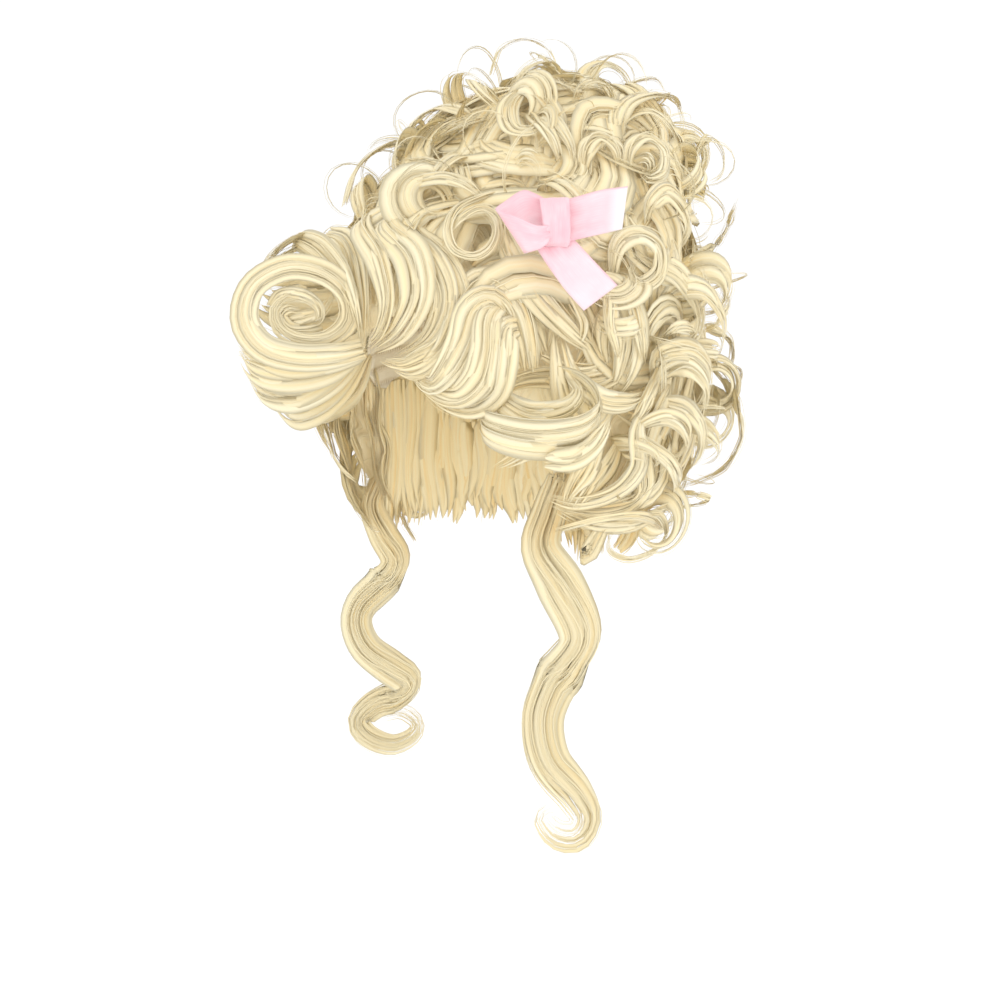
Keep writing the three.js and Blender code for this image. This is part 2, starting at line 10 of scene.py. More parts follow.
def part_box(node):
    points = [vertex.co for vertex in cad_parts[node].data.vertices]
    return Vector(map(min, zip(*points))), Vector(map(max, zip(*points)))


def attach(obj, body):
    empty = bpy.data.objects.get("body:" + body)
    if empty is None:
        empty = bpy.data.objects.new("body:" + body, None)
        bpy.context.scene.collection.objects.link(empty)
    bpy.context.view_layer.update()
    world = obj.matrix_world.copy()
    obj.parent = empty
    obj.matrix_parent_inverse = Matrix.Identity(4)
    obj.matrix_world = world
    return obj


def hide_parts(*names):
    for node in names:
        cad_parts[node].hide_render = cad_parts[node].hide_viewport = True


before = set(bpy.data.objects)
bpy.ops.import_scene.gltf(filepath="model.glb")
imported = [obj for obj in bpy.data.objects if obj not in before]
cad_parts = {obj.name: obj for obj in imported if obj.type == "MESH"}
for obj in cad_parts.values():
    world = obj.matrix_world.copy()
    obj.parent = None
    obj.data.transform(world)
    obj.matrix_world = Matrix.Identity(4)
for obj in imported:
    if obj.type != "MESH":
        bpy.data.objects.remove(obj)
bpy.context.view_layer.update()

# A tall court wig in pale blonde: locks of fine hair over a padded base and a net cap, rolled
# waves along the front hairline, a long ringlet at each temple and a pink satin bow. Metres, in
# the frame of the solids: +Z up, the wearer faces -Y and the wearer's left is +X.

mm = 0.001

# Camera, floor and light: what a user would change to look at the wig in another way.
view = {
    "place": (0.9545, -1.2534, 0.13175),
    "target": (0.01095, -0.00124, -0.18724),
    "lens": 81.9,
    "sensor": 36.0,
    "sky": 1.05,
    "floor": -0.53,
    "floorSpan": 12.0,
}


def aim(place, target):
    return (Vector(target) - Vector(place)).to_track_quat("-Z", "Y").to_euler()


def addLamp(name, place, target, size, power, colour):
    lamp = bpy.data.lights.new(name, "AREA")
    lamp.shape = "DISK"
    lamp.size = size
    lamp.energy = power
    lamp.color = colour
    holder = bpy.data.objects.new(name, lamp)
    holder.location = place
    holder.rotation_euler = aim(place, target)
    bpy.context.scene.collection.objects.link(holder)


lens = bpy.data.cameras.new("viewer")
lens.lens = view["lens"]
lens.sensor_width = view["sensor"]
viewer = bpy.data.objects.new("viewer", lens)
viewer.location = view["place"]
viewer.rotation_euler = aim(view["place"], view["target"])
bpy.context.scene.collection.objects.link(viewer)
bpy.context.scene.camera = viewer
bpy.context.scene.view_settings.view_transform = "Standard"
bpy.context.scene.view_settings.gamma = 1.15

world = bpy.data.worlds.new("studio")
world.use_nodes = True
sky = world.node_tree.nodes["Background"]
sky.inputs["Color"].default_value = (1.0, 1.0, 1.0, 1.0)
sky.inputs["Strength"].default_value = view["sky"]
bpy.context.scene.world = world

addLamp("key", (1.05, -1.5, 0.5), (0, 0, -0.1), 1.0, 2.7, (0.98, 0.98, 1.0))
addLamp("fill", (-1.15, -1.3, 0.8), (0, 0, -0.1), 1.3, 2.4, (0.97, 0.98, 1.0))
addLamp("side", (1.75, -0.7, 0.35), (0, 0, -0.1), 1.2, 3.4, (0.98, 0.98, 1.0))
addLamp("low", (-0.5, -1.5, -0.95), (0, 0, -0.1), 1.2, 2.2, (0.98, 0.98, 1.0))
addLamp("rim", (0.7, 1.5, 1.3), (0, 0, 0), 0.8, 3.0, (1.0, 1.0, 1.0))
print("stage: camera and light")


# The base's skin as the solids have it, so that locks can be seated on it.
baseSize = {"rise": 0.088, "drop": 0.208, "halfWidth": 0.114, "halfDepth": 0.140, "lean": 0.082}

# Height as a share of the rise or drop, half width, half depth, and how far back the middle lies.
baseSections = np.array([
    (-1.0, 0.8, 0.7, 0.35),
    (-0.9, 0.88, 0.83, 0.32),
    (-0.77, 0.97, 0.95, 0.3),
    (-0.58, 1.0, 1.0, 0.3),
    (-0.39, 1.0, 1.0, 0.31),
    (-0.22, 0.97, 0.97, 0.34),
    (-0.08, 0.93, 0.88, 0.42),
    (0.1, 0.87, 0.75, 0.52),
    (0.38, 0.78, 0.67, 0.76),
    (0.7, 0.64, 0.53, 0.93),
    (0.9, 0.42, 0.34, 0.98),
    (0.97, 0.26, 0.22, 1.0),
    (1.0, 0.06, 0.05, 1.0),
])


def sectionAt(height):
    width, depth, back = (np.interp(height, baseSections[:, 0], baseSections[:, i]) for i in (1, 2, 3))
    return width * baseSize["halfWidth"], depth * baseSize["halfDepth"], back * baseSize["lean"]


def skinPoint(azimuth, height):
    width, depth, back = sectionAt(height)
    z = (baseSize["rise"] if height > 0 else baseSize["drop"]) * height
    return np.array([width * math.sin(azimuth), back - depth * math.cos(azimuth), z])


def unit(vectors):
    vectors = np.asarray(vectors, dtype=float)
    return vectors / np.maximum(np.linalg.norm(vectors, axis=-1, keepdims=True), 1e-12)


# The skin's point and its ways out, round and up there.
def skinSeat(azimuth, height, step=0.03):
    around = unit(skinPoint(azimuth + step, height) - skinPoint(azimuth - step, height))
    rising = unit(skinPoint(azimuth, min(height + step, 1.0)) - skinPoint(azimuth, max(height - step, -1.0)))
    out = unit(np.cross(around, rising))
    return skinPoint(azimuth, height), out, around, unit(np.cross(out, around))


# The azimuth and height of the skin nearest to a point.
def skinPlace(point):
    height = float(np.clip(point[2] / (baseSize["rise"] if point[2] > 0 else baseSize["drop"]), -1.0, 0.995))
    width, depth, back = sectionAt(height)
    return math.atan2(point[0] / width, -(point[1] - back) / depth), height


def skinOut(point):
    return skinSeat(*skinPlace(point))[1]


# How far a point stands off the base, in metres.
def skinRise(point):
    skin, out, _, _ = skinSeat(*skinPlace(point))
    return float((point - skin) @ out)


# A drawing board that faces the viewer at a place: right, up and toward, given in millimetres.
def boardWays(azimuth, tilt):
    a, t = math.radians(azimuth), math.radians(tilt)
    right = np.array([math.cos(a), math.sin(a), 0.0])
    toward = np.array([math.sin(a) * math.cos(t), -math.cos(a) * math.cos(t), math.sin(t)])
    return np.array([right, np.cross(toward, right), toward])


def onBoard(rows, centre, ways):
    return np.asarray(centre) * mm + np.asarray(rows, dtype=float) @ ways * mm


# Points evenly spread over a smooth curve through the rows.
def smoothPath(rows, count):
    rows = np.asarray(rows, dtype=float)
    padded = np.vstack([2 * rows[0] - rows[1], rows, 2 * rows[-1] - rows[-2]])

    def at(place):
        i = np.minimum(place.astype(int), len(rows) - 2)
        t = (place - i)[:, None]
        a, b, c, d = padded[i], padded[i + 1], padded[i + 2], padded[i + 3]
        return 0.5 * (2 * b + (c - a) * t + (2 * a - 5 * b + 4 * c - d) * t**2
                      + (3 * b - a - 3 * c + d) * t**3)

    fine = np.linspace(0, len(rows) - 1, 12 * len(rows))
    run = np.concatenate([[0], np.cumsum(np.linalg.norm(np.diff(at(fine), axis=0), axis=1))])
    return at(np.interp(np.linspace(0, run[-1], count), run, fine))


# How wide a lock is along its length: a narrow root, a full middle and a narrower tip.
def lockShape(share, root=0.35, tip=0.12, fullest=0.45):
    rise = np.sin(np.clip(share / fullest, 0, 1) * math.pi / 2)
    fall = np.sin(np.clip((1 - share) / (1 - fullest), 0, 1) * math.pi / 2) ** 0.8
    return np.minimum(root + (1 - root) * rise, tip + (1 - tip) * fall)


# One lock: its path, the half spans of its section along two ways, and how many strands it has.
def guideOf(points, outward, halfWidth, halfDepth, strands, twist=0.0):
    tangent = unit(np.gradient(points, axis=0))
    across = unit(np.cross(tangent, outward))
    deep = unit(np.cross(across, tangent))
    turn = np.radians(np.broadcast_to(twist, len(points)))[:, None]
    turned = across * np.cos(turn) + deep * np.sin(turn)
    deep = deep * np.cos(turn) - across * np.sin(turn)
    spread = np.broadcast_to(halfWidth, len(points))[:, None]
    thick = np.broadcast_to(halfDepth, len(points))[:, None]
    rise = [skinRise(point) for point in points]
    return {"points": points, "across": turned * spread, "deep": deep * thick, "rise": rise,
            "strands": strands}


# A lock along a drawn path, flat to the base or to the way that is given.
def pathGuide(rows, halfWidth, halfDepth, steps, strands, outward=None, shape=(0.5, 0.15, 0.5)):
    points = smoothPath(rows, steps)
    if outward is None:
        outward = np.array([skinOut(point) for point in points])
    share = np.linspace(0, 1, steps)
    width = halfWidth * lockShape(share, *shape)
    return guideOf(points, outward, width, halfDepth * lockShape(share, 0.7, 0.4), strands)


# A lock that leaves the base, winds round an axis and closes in at its tip.
def curlGuide(centre, out, axis, curl):
    axis = unit(axis)
    face = float(axis @ out)
    level = unit(np.cross((0.0, 0.0, 1.0), out))
    reference = out if abs(face) < 0.85 else np.cross(out, level)
    side = unit(reference - axis * (reference @ axis))
    other = np.cross(axis, side)
    share = np.linspace(0, 1, curl["steps"])
    angle = math.radians(curl["start"]) + curl["spin"] * 2 * math.pi * curl["turns"] * share
    swell = 0.1 * np.sin(1.6 * angle + 3 * curl["start"])
    reach = curl["radius"] * (1 - curl["closing"] * share**1.3 + swell)
    radial = np.outer(np.cos(angle), side) + np.outer(np.sin(angle), other)
    points = centre + radial * reach[:, None] + np.outer(curl["travel"] * (2 * share - 1), axis)
    leadSteps = max(2, curl["steps"] // 5)
    back = np.linspace(1, 0, leadSteps, endpoint=False)[:, None]
    going = curl["spin"] * (other * math.cos(angle[0]) - side * math.sin(angle[0]))
    points = np.vstack([points[0] - curl["lead"] * (going * back + out * 0.35 * back**2), points])
    radial = np.vstack([np.repeat(radial[:1], leadSteps, axis=0), radial])
    flat = unit(radial * (1 - abs(face)) + axis * face)
    length = np.linspace(0, 1, len(points))
    width = curl["halfWidth"] * lockShape(length, 0.4, 0.12)
    depth = curl["halfDepth"] * lockShape(length, 0.8, 0.4)
    return guideOf(points, flat, width, depth, curl["strands"])


# A lock that lies along the base, bending in its plane, lifting in the middle and hooking at its tip.
def surfaceGuide(azimuth, height, heading, lock):
    lock = {"bend": 0.0, "hook": 0.0, "fling": 0.0, "twist": 0.0, **lock}
    point, out, around, up = skinSeat(azimuth, height)
    step = lock["length"] / (lock["steps"] - 1)
    points, outward = [], []
    for i in range(lock["steps"]):
        share = i / (lock["steps"] - 1)
        hump = math.sin(math.pi * min(1, share * 1.05)) ** 0.8
        points.append(point + out * lock["lift"] * (0.15 + hump + lock["fling"] * max(0, share - 0.7) * 3))
        outward.append(out)
        waving = lock["wave"] * math.cos(2 * math.pi * share)
        heading += (lock["bend"] + waving + lock["hook"] * share**3) * step
        azimuth, height = skinPlace(point + (around * math.cos(heading) + up * math.sin(heading)) * step)
        point, out, around, up = skinSeat(azimuth, height)
    share = np.linspace(0, 1, lock["steps"])
    width = lock["halfWidth"] * lockShape(share, 0.4, 0.15)
    depth = lock["halfDepth"] * lockShape(share, 0.8, 0.5)
    return guideOf(np.array(points), np.array(outward), width, depth, lock["strands"], lock["twist"])


def addNode(tree, kind, values=None, **settings):
    made = tree.nodes.new(kind)
    for key, value in settings.items():
        setattr(made, key, value)
    for key, value in (values or {}).items():
        if isinstance(value, bpy.types.NodeSocket):
            tree.links.new(value, made.inputs[key])
        else:
            made.inputs[key].default_value = value
    return made


def addMath(tree, operation, *values):
    return addNode(tree, "ShaderNodeMath", dict(enumerate(values)), operation=operation).outputs[0]


def addVectorMath(tree, operation, *values):
    made = addNode(tree, "ShaderNodeVectorMath", dict(values), operation=operation)
    return made.outputs[1 if operation == "LENGTH" else 0]


# Grows flat bands of hair along each guide, side by side over its width, and fine strands on top
# that gather in clumps towards the tip.
def lockTree():
    tree = bpy.data.node_groups.new("hairLock", "GeometryNodeTree")
    sockets = (
        ("Guides", "NodeSocketGeometry", None),
        ("Girth", "NodeSocketFloat", 0.0005),
        ("Flatness", "NodeSocketFloat", 0.5),
        ("Bands", "NodeSocketInt", 4),
        ("Band Overlap", "NodeSocketFloat", 2.0),
        ("Band Flatness", "NodeSocketFloat", 0.12),
        ("Band Depth", "NodeSocketFloat", 0.45),
        ("Clumps", "NodeSocketInt", 6),
        ("Clump Spread", "NodeSocketFloat", 0.3),
        ("Clumping", "NodeSocketFloat", 0.4),
        ("Hollow", "NodeSocketFloat", 0.5),
        ("Stray", "NodeSocketFloat", 0.8),
        ("Wander", "NodeSocketFloat", 0.005),
        ("Frizz", "NodeSocketFloat", 0.0004),
        ("Uneven Ends", "NodeSocketFloat", 0.2),
        ("Seed", "NodeSocketInt", 1),
        ("Material", "NodeSocketMaterial", None),
    )
    for label, kind, value in sockets:
        socket = tree.interface.new_socket(label, in_out="INPUT", socket_type=kind)
        if value is not None:
            socket.default_value = value
    tree.interface.new_socket("Hair", in_out="OUTPUT", socket_type="NodeSocketGeometry")
    given = tree.nodes.new("NodeGroupInput").outputs

    def node(kind, values=None, **settings):
        return addNode(tree, kind, values, **settings)

    def sums(operation, *values):
        return addMath(tree, operation, *values)

    def vectors(operation, *values):
        return addVectorMath(tree, operation, *values)

    def product(first, *rest):
        return sums("MULTIPLY", first, product(*rest) if len(rest) > 1 else rest[0])

    # What is left of one after a share of an amount is taken away.
    def lessOf(share, amount):
        return sums("SUBTRACT", 1.0, sums("MULTIPLY", share, amount))

    def named(name, kind="FLOAT"):
        made = node("GeometryNodeInputNamedAttribute", {"Name": name}, data_type=kind)
        return made.outputs["Attribute"]

    def chance(identity, salt, low=0.0, high=1.0):
        values = {"ID": identity, "Seed": sums("ADD", given["Seed"], salt), 2: low, 3: high}
        return node("FunctionNodeRandomValue", values, data_type="FLOAT").outputs[1]

    # Keeps values on a geometry as they are at that stage.
    def captured(geometry, domain, marks):
        made = node("GeometryNodeCaptureAttribute", {"Geometry": geometry}, domain=domain)
        for label, (kind, value) in marks.items():
            made.capture_items.new(kind, label)
            tree.links.new(value, made.inputs[label])
        return made.outputs

    curves = node("GeometryNodeMeshToCurve", {"Mesh": given["Guides"]}).outputs[0]
    factor = node("GeometryNodeSplineParameter").outputs["Factor"]
    across, deep = named("across", "FLOAT_VECTOR"), named("deep", "FLOAT_VECTOR")

    # Copies of the guides, with each copy's own number and its place in its lock.
    def copiesOf(amount):
        values = {"Geometry": curves, "Amount": amount}
        copies = node("GeometryNodeDuplicateElements", values, domain="SPLINE").outputs
        index = node("GeometryNodeInputIndex").outputs[0]
        marks = {"number": ("INT", index), "order": ("INT", copies["Duplicate Index"])}
        return captured(copies["Geometry"], "CURVE", marks)

    # A slow wander or a quick frizz along a strand.
    def noise(identity, speed, salt, amount):
        values = {"X": sums("MULTIPLY", factor, speed), "Y": float(salt)}
        along = node("ShaderNodeCombineXYZ", values).outputs[0]
        values = {"Vector": along, "W": sums("MULTIPLY", identity, 7.31), "Scale": 1.0, "Detail": 0.0}
        colour = node("ShaderNodeTexNoise", values, noise_dimensions="4D").outputs["Color"]
        centred = vectors("SUBTRACT", (0, colour), (1, (0.5, 0.5, 0.5)))
        return vectors("SCALE", (0, centred), (3, amount))

    # Moves each copy to its place in the lock's section, sweeps its profile along it and marks it for
    # the material.
    def swept(copies, placeX, placeY, moved, profile, girth, clump, ends):
        aside = vectors("SCALE", (0, across), (3, placeX))
        deeper = vectors("SCALE", (0, deep), (3, placeY))
        offset = vectors("ADD", (0, vectors("ADD", (0, aside), (1, deeper))), (1, moved))
        values = {"Geometry": copies["Geometry"], "Offset": offset}
        placed = node("GeometryNodeSetPosition", values).outputs[0]
        values = {"Curve": placed, "Normal": across}
        turned = node("GeometryNodeSetCurveNormal", values, mode="FREE").outputs[0]
        trimmed = node("GeometryNodeTrimCurve", {"Curve": turned, 3: ends}, mode="FACTOR").outputs[0]
        length = node("GeometryNodeSplineParameter").outputs["Length"]
        marks = {
            "tone": ("FLOAT", chance(copies["number"], 51)),
            "clumpTone": ("FLOAT", chance(clump, 52)),
            "span": ("FLOAT", length),
            "standoff": ("FLOAT", named("rise")),
            "girthHere": ("FLOAT", girth),
            "facing": ("VECTOR", vectors("NORMALIZE", (0, deep))),
        }
        kept = captured(trimmed, "POINT", marks)
        position = node("GeometryNodeInputPosition").outputs[0]
        rim = captured(profile, "POINT", {"rim": ("VECTOR", position)})
        values = {"Curve": kept["Geometry"], "Profile Curve": rim["Geometry"],
                  "Scale": kept["girthHere"], "Fill Caps": True}
        shown = node("GeometryNodeCurveToMesh", values).outputs[0]
        rimWays = node("ShaderNodeSeparateXYZ", {0: rim["rim"]}).outputs
        sideways = sums("MULTIPLY", rimWays[0], kept["girthHere"])
        for label in ("aside", "tone", "clumpTone", "span", "standoff", "facing"):
            value = sideways if label == "aside" else kept[label]
            values = {"Geometry": shown, "Name": label, "Value": value}
            kind = "FLOAT_VECTOR" if label == "facing" else "FLOAT"
            shown = node("GeometryNodeStoreNamedAttribute", values, data_type=kind, domain="POINT").outputs[0]
        return shown

    def flattened(sides, flatness):
        ring = node("GeometryNodeCurvePrimitiveCircle", {"Resolution": sides, "Radius": 1.0}).outputs["Curve"]
        place = node("ShaderNodeSeparateXYZ", {0: node("GeometryNodeInputPosition").outputs[0]}).outputs
        wide = sums("MULTIPLY", sums("SIGN", place[0]), sums("SQRT", sums("ABSOLUTE", place[0])))
        values = {"X": wide, "Y": sums("MULTIPLY", place[1], flatness)}
        shape = node("ShaderNodeCombineXYZ", values).outputs[0]
        return node("GeometryNodeSetPosition", {"Geometry": ring, "Position": shape}).outputs[0]

    def discPoint(identity, salt):
        turn = chance(identity, salt, 0.0, 2 * math.pi)
        reach = sums("POWER", chance(identity, salt + 1), given["Hollow"])
        return sums("MULTIPLY", reach, sums("COSINE", turn)), sums("MULTIPLY", reach, sums("SINE", turn))

    rootward = sums("MINIMUM", 1.0, sums("MULTIPLY_ADD", factor, 8.0, 0.35))
    taper = sums("MULTIPLY", rootward, lessOf(sums("POWER", factor, 4.0), 0.88))

    # The fine strands.
    copies = copiesOf(named("strands", "INT"))
    strand = copies["number"]
    chosen = sums("FLOOR", sums("MULTIPLY", chance(strand, 11), given["Clumps"]))
    clump = sums("MULTIPLY_ADD", named("guide", "INT"), 64.0, chosen)
    stray = sums("MULTIPLY_ADD", sums("POWER", chance(strand, 25), 5.0), given["Stray"], 1.0)
    own = [sums("MULTIPLY", place, stray) for place in discPoint(strand, 20)]
    gather = node("ShaderNodeMapRange", {"Value": factor, "To Min": 0.4, "To Max": 1.0}).outputs[0]
    gather = sums("MULTIPLY", gather, given["Clumping"])
    gathered = []
    for place, middle in zip(own, discPoint(clump, 30)):
        close = sums("MULTIPLY_ADD", place, given["Clump Spread"], sums("MULTIPLY", middle, 0.9))
        values = {"Factor": gather, 2: place, 3: close}
        gathered.append(node("ShaderNodeMix", values, data_type="FLOAT").outputs[0])
    wander, frizz = noise(clump, 2.2, 3, given["Wander"]), noise(strand, 6.0, 9, given["Frizz"])
    moved = vectors("ADD", (0, wander), (1, frizz))
    broad = sums("MULTIPLY_ADD", sums("POWER", chance(strand, 61), 2.5), 1.1, 0.5)
    ends = lessOf(sums("POWER", chance(strand, 41), 2.0), given["Uneven Ends"])
    profile = flattened(3, given["Flatness"])
    fine = swept(copies, *gathered, moved, profile, product(given["Girth"], broad, taper), clump, ends)

    # The bands under them.
    copies = copiesOf(given["Bands"])
    band = copies["number"]
    clump = sums("MULTIPLY_ADD", named("guide", "INT"), 64.0, copies["order"])
    place = sums("DIVIDE", sums("ADD", copies["order"], 0.5), given["Bands"])
    place = sums("MULTIPLY_ADD", sums("SUBTRACT", place, 0.5), 1.6, chance(band, 71, -0.12, 0.12))
    depth = sums("SQRT", sums("MAXIMUM", 0.05, lessOf(place, place)))
    depth = product(depth, given["Band Depth"], chance(band, 73, -1.2, 0.8))
    width = sums("DIVIDE", vectors("LENGTH", (0, across)), given["Bands"])
    width = product(width, given["Band Overlap"], chance(band, 74, 0.6, 1.3))
    girth = product(width, rootward, lessOf(sums("POWER", factor, 3.0), 0.95))
    ends = lessOf(chance(band, 72), given["Uneven Ends"])
    moved = noise(band, 2.3, 3, given["Wander"])
    profile = flattened(4, given["Band Flatness"])
    bands = swept(copies, place, depth, moved, profile, girth, clump, ends)

    joined = node("GeometryNodeJoinGeometry")
    for part in (fine, bands):
        tree.links.new(part, joined.inputs[0])
    smooth = node("GeometryNodeSetShadeSmooth", {"Geometry": joined.outputs[0]}).outputs[0]
    real = node("GeometryNodeRealizeInstances", {"Geometry": smooth}).outputs[0]
    dressed = node("GeometryNodeSetMaterial", {"Geometry": real, "Material": given["Material"]}).outputs[0]
    tree.links.new(dressed, node("NodeGroupOutput").inputs[0])
    return tree


hairTree = lockTree()


def guideMesh(name, guides):
    counts = [len(guide["points"]) for guide in guides]
    starts = np.cumsum([0] + counts[:-1])
    spans = [np.stack([np.arange(n - 1), np.arange(1, n)], axis=1) + s for s, n in zip(starts, counts)]
    edges = np.vstack(spans)
    mesh = bpy.data.meshes.new(name)
    mesh.vertices.add(sum(counts))
    places = np.vstack([guide["points"] for guide in guides])
    mesh.vertices.foreach_set("co", places.astype(np.float32).ravel())
    mesh.edges.add(len(edges))
    mesh.edges.foreach_set("vertices", edges.astype(np.int32).ravel())
    for label in ("across", "deep"):
        values = np.vstack([guide[label] for guide in guides]).astype(np.float32)
        mesh.attributes.new(label, "FLOAT_VECTOR", "POINT").data.foreach_set("vector", values.ravel())
    rise = np.concatenate([guide["rise"] for guide in guides]).astype(np.float32)
    mesh.attributes.new("rise", "FLOAT", "POINT").data.foreach_set("value", rise)
    for label, whole in (("strands", [guide["strands"] for guide in guides]), ("guide", range(len(guides)))):
        values = np.repeat(np.array(list(whole), dtype=np.int32), counts)
        mesh.attributes.new(label, "INT", "POINT").data.foreach_set("value", values)
    mesh.update()
    return mesh


def link(name, mesh):
    piece = bpy.data.objects.new(name, mesh)
    bpy.context.scene.collection.objects.link(piece)
    return piece


def evaluatedMesh(piece):
    return bpy.data.meshes.new_from_object(piece.evaluated_get(bpy.context.evaluated_depsgraph_get()))


def handOver(piece, nodes=()):
    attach(piece, "root")
    if nodes:
        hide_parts(*nodes)


def tell(name, mesh, *words):
    mesh.calc_loop_triangles()
    print("stage:", name, *words, len(mesh.loop_triangles), "triangles")


# Grows the strands of the guides and stands them in for the solids named.
def growStrands(name, guides, nodes=(), **inputs):
    piece = link(name, guideMesh(name, guides))
    grower = piece.modifiers.new("strands", "NODES")
    grower.node_group = hairTree
    inputs = {"Material": hairLook, **{label.replace("_", " "): value for label, value in inputs.items()}}
    for item in hairTree.interface.items_tree:
        if item.in_out == "INPUT" and item.name in inputs:
            grower[item.identifier] = inputs[item.name]
    grown = evaluatedMesh(piece)
    piece.modifiers.remove(grower)
    piece.data = grown
    handOver(piece, nodes)
    piece.visible_shadow = hairTones["shadows"]
    tell(name, grown, len(guides), "locks")


def noiseOf(tree, place, scale, detail, output="Fac"):
    values = {"Vector": place, "Scale": scale, "Detail": detail}
    return addNode(tree, "ShaderNodeTexNoise", values).outputs[output]


# Fine lighter and darker fibres along a lock, as a tone and a height.
def fibreGroup():
    tree = bpy.data.node_groups.new("hairFibres", "ShaderNodeTree")
    sockets = (("Along", 0.0), ("Across", 0.0), ("Strand", 0.5), ("Clump", 0.5), ("Fibre Size", 0.0004),
               ("Fibre Length", 0.05))
    for label, value in sockets:
        socket = tree.interface.new_socket(label, in_out="INPUT", socket_type="NodeSocketFloat")
        socket.default_value = value
    for label in ("Tone", "Height"):
        tree.interface.new_socket(label, in_out="OUTPUT", socket_type="NodeSocketFloat")
    given = tree.nodes.new("NodeGroupInput").outputs
    result = tree.nodes.new("NodeGroupOutput").inputs
    along = addMath(tree, "DIVIDE", given["Along"], given["Fibre Length"])
    across = addMath(tree, "DIVIDE", given["Across"], given["Fibre Size"])
    own = addMath(tree, "MULTIPLY", given["Clump"], 23.0)
    own = addMath(tree, "MULTIPLY_ADD", given["Strand"], 57.0, own)

    def noise(alongScale, acrossScale, detail):
        place = addNode(tree, "ShaderNodeCombineXYZ", {
            "X": addMath(tree, "MULTIPLY", along, alongScale),
            "Y": addMath(tree, "MULTIPLY", across, acrossScale), "Z": own})
        return noiseOf(tree, place.outputs[0], 1.0, detail)

    def weighed(*shares):
        rest = addMath(tree, "MULTIPLY_ADD", broad, shares[1], addMath(tree, "MULTIPLY", streak, shares[2]))
        return addMath(tree, "MULTIPLY_ADD", fine, shares[0], rest)

    fine, broad, streak = noise(1.0, 1.0, 1.0), noise(0.6, 0.3, 1.0), noise(0.35, 0.12, 1.0)
    owned = addMath(tree, "MULTIPLY", given["Clump"], 0.09)
    owned = addMath(tree, "MULTIPLY_ADD", given["Strand"], 0.09, owned)
    tree.links.new(addMath(tree, "ADD", weighed(0.3, 0.35, 0.5), owned), result["Tone"])
    tree.links.new(weighed(0.2, 0.5, 1.2), result["Height"])
    return tree


fibres = fibreGroup()


# A normal turned towards the side that a lock faces, so that its strands shade as one soft surface.
def softGroup():
    tree = bpy.data.node_groups.new("softNormal", "ShaderNodeTree")
    tree.interface.new_socket("Facing", in_out="INPUT", socket_type="NodeSocketVector")
    tree.interface.new_socket("Softness", in_out="INPUT", socket_type="NodeSocketFloat").default_value = 1.0
    tree.interface.new_socket("Normal", in_out="OUTPUT", socket_type="NodeSocketVector")
    given = tree.nodes.new("NodeGroupInput").outputs
    shown = addNode(tree, "ShaderNodeNewGeometry").outputs["Normal"]
    dot = addNode(tree, "ShaderNodeVectorMath", {0: shown, 1: given["Facing"]}, operation="DOT_PRODUCT")
    amount = addMath(tree, "MULTIPLY", addMath(tree, "SIGN", dot.outputs["Value"]), given["Softness"])
    leaning = addVectorMath(tree, "SCALE", (0, given["Facing"]), (3, amount))
    turned = addVectorMath(tree, "ADD", (0, shown), (1, leaning))
    result = tree.nodes.new("NodeGroupOutput").inputs["Normal"]
    tree.links.new(addVectorMath(tree, "NORMALIZE", (0, turned)), result)
    return tree


soften = softGroup()

# The hair's colours, from the bright crests of the locks to the shade between them: a strand's tone falls
# among them at random, and is shifted by painted shade, darker for locks that lie deep in the mass and a
# little lighter for those that stand off it. Pale hair lets the light through to the locks below it, so that
# it casts no shadow of its own.
hairTones = {
    "light": (0.95, 0.855, 0.58, 1.0),
    "mid": (0.935, 0.78, 0.44, 1.0),
    "deep": (0.90, 0.64, 0.26, 1.0),
    "roughness": 0.42,
    "gloss": 0.25,
    "sheen": 0.3,
    "bump": 0.16,
    "bumpDepth": 0.0012,
    "softness": 2.0,
    "shadows": False,
    # How far off the base, in metres, the painted shade reaches, and how strong it is.
    "shadeDepth": 0.022,
    "shade": 0.14,
}


def attribute(tree, label):
    return addNode(tree, "ShaderNodeAttribute", attribute_name=label).outputs["Fac"]


def toneRamp(tree, tone, tones, stops=(0.3, 0.55, 0.85)):
    ramp = addNode(tree, "ShaderNodeValToRGB", {"Fac": tone})
    ramp.color_ramp.elements[0].position = stops[0]
    ramp.color_ramp.elements[0].color = tones["deep"]
    ramp.color_ramp.elements[1].position = stops[2]
    ramp.color_ramp.elements[1].color = tones["light"]
    ramp.color_ramp.elements.new(stops[1]).color = tones["mid"]
    return ramp.outputs["Color"]


def newMaterial(name):
    material = bpy.data.materials.new(name)
    material.use_nodes = True
    return material, material.node_tree


def mixed(tree, share, one, other):
    return addNode(tree, "ShaderNodeMix", {"Factor": share, 6: one, 7: other}, data_type="RGBA").outputs[2]


# Links a material's colour and bump to its shader, and sets the shader's plain numbers.
def dress(tree, colour, bump, **numbers):
    shader = tree.nodes["Principled BSDF"]
    tree.links.new(colour, shader.inputs["Base Color"])
    tree.links.new(addNode(tree, "ShaderNodeBump", bump).outputs["Normal"], shader.inputs["Normal"])
    for label, value in numbers.items():
        shader.inputs[label.replace("_", " ")].default_value = value


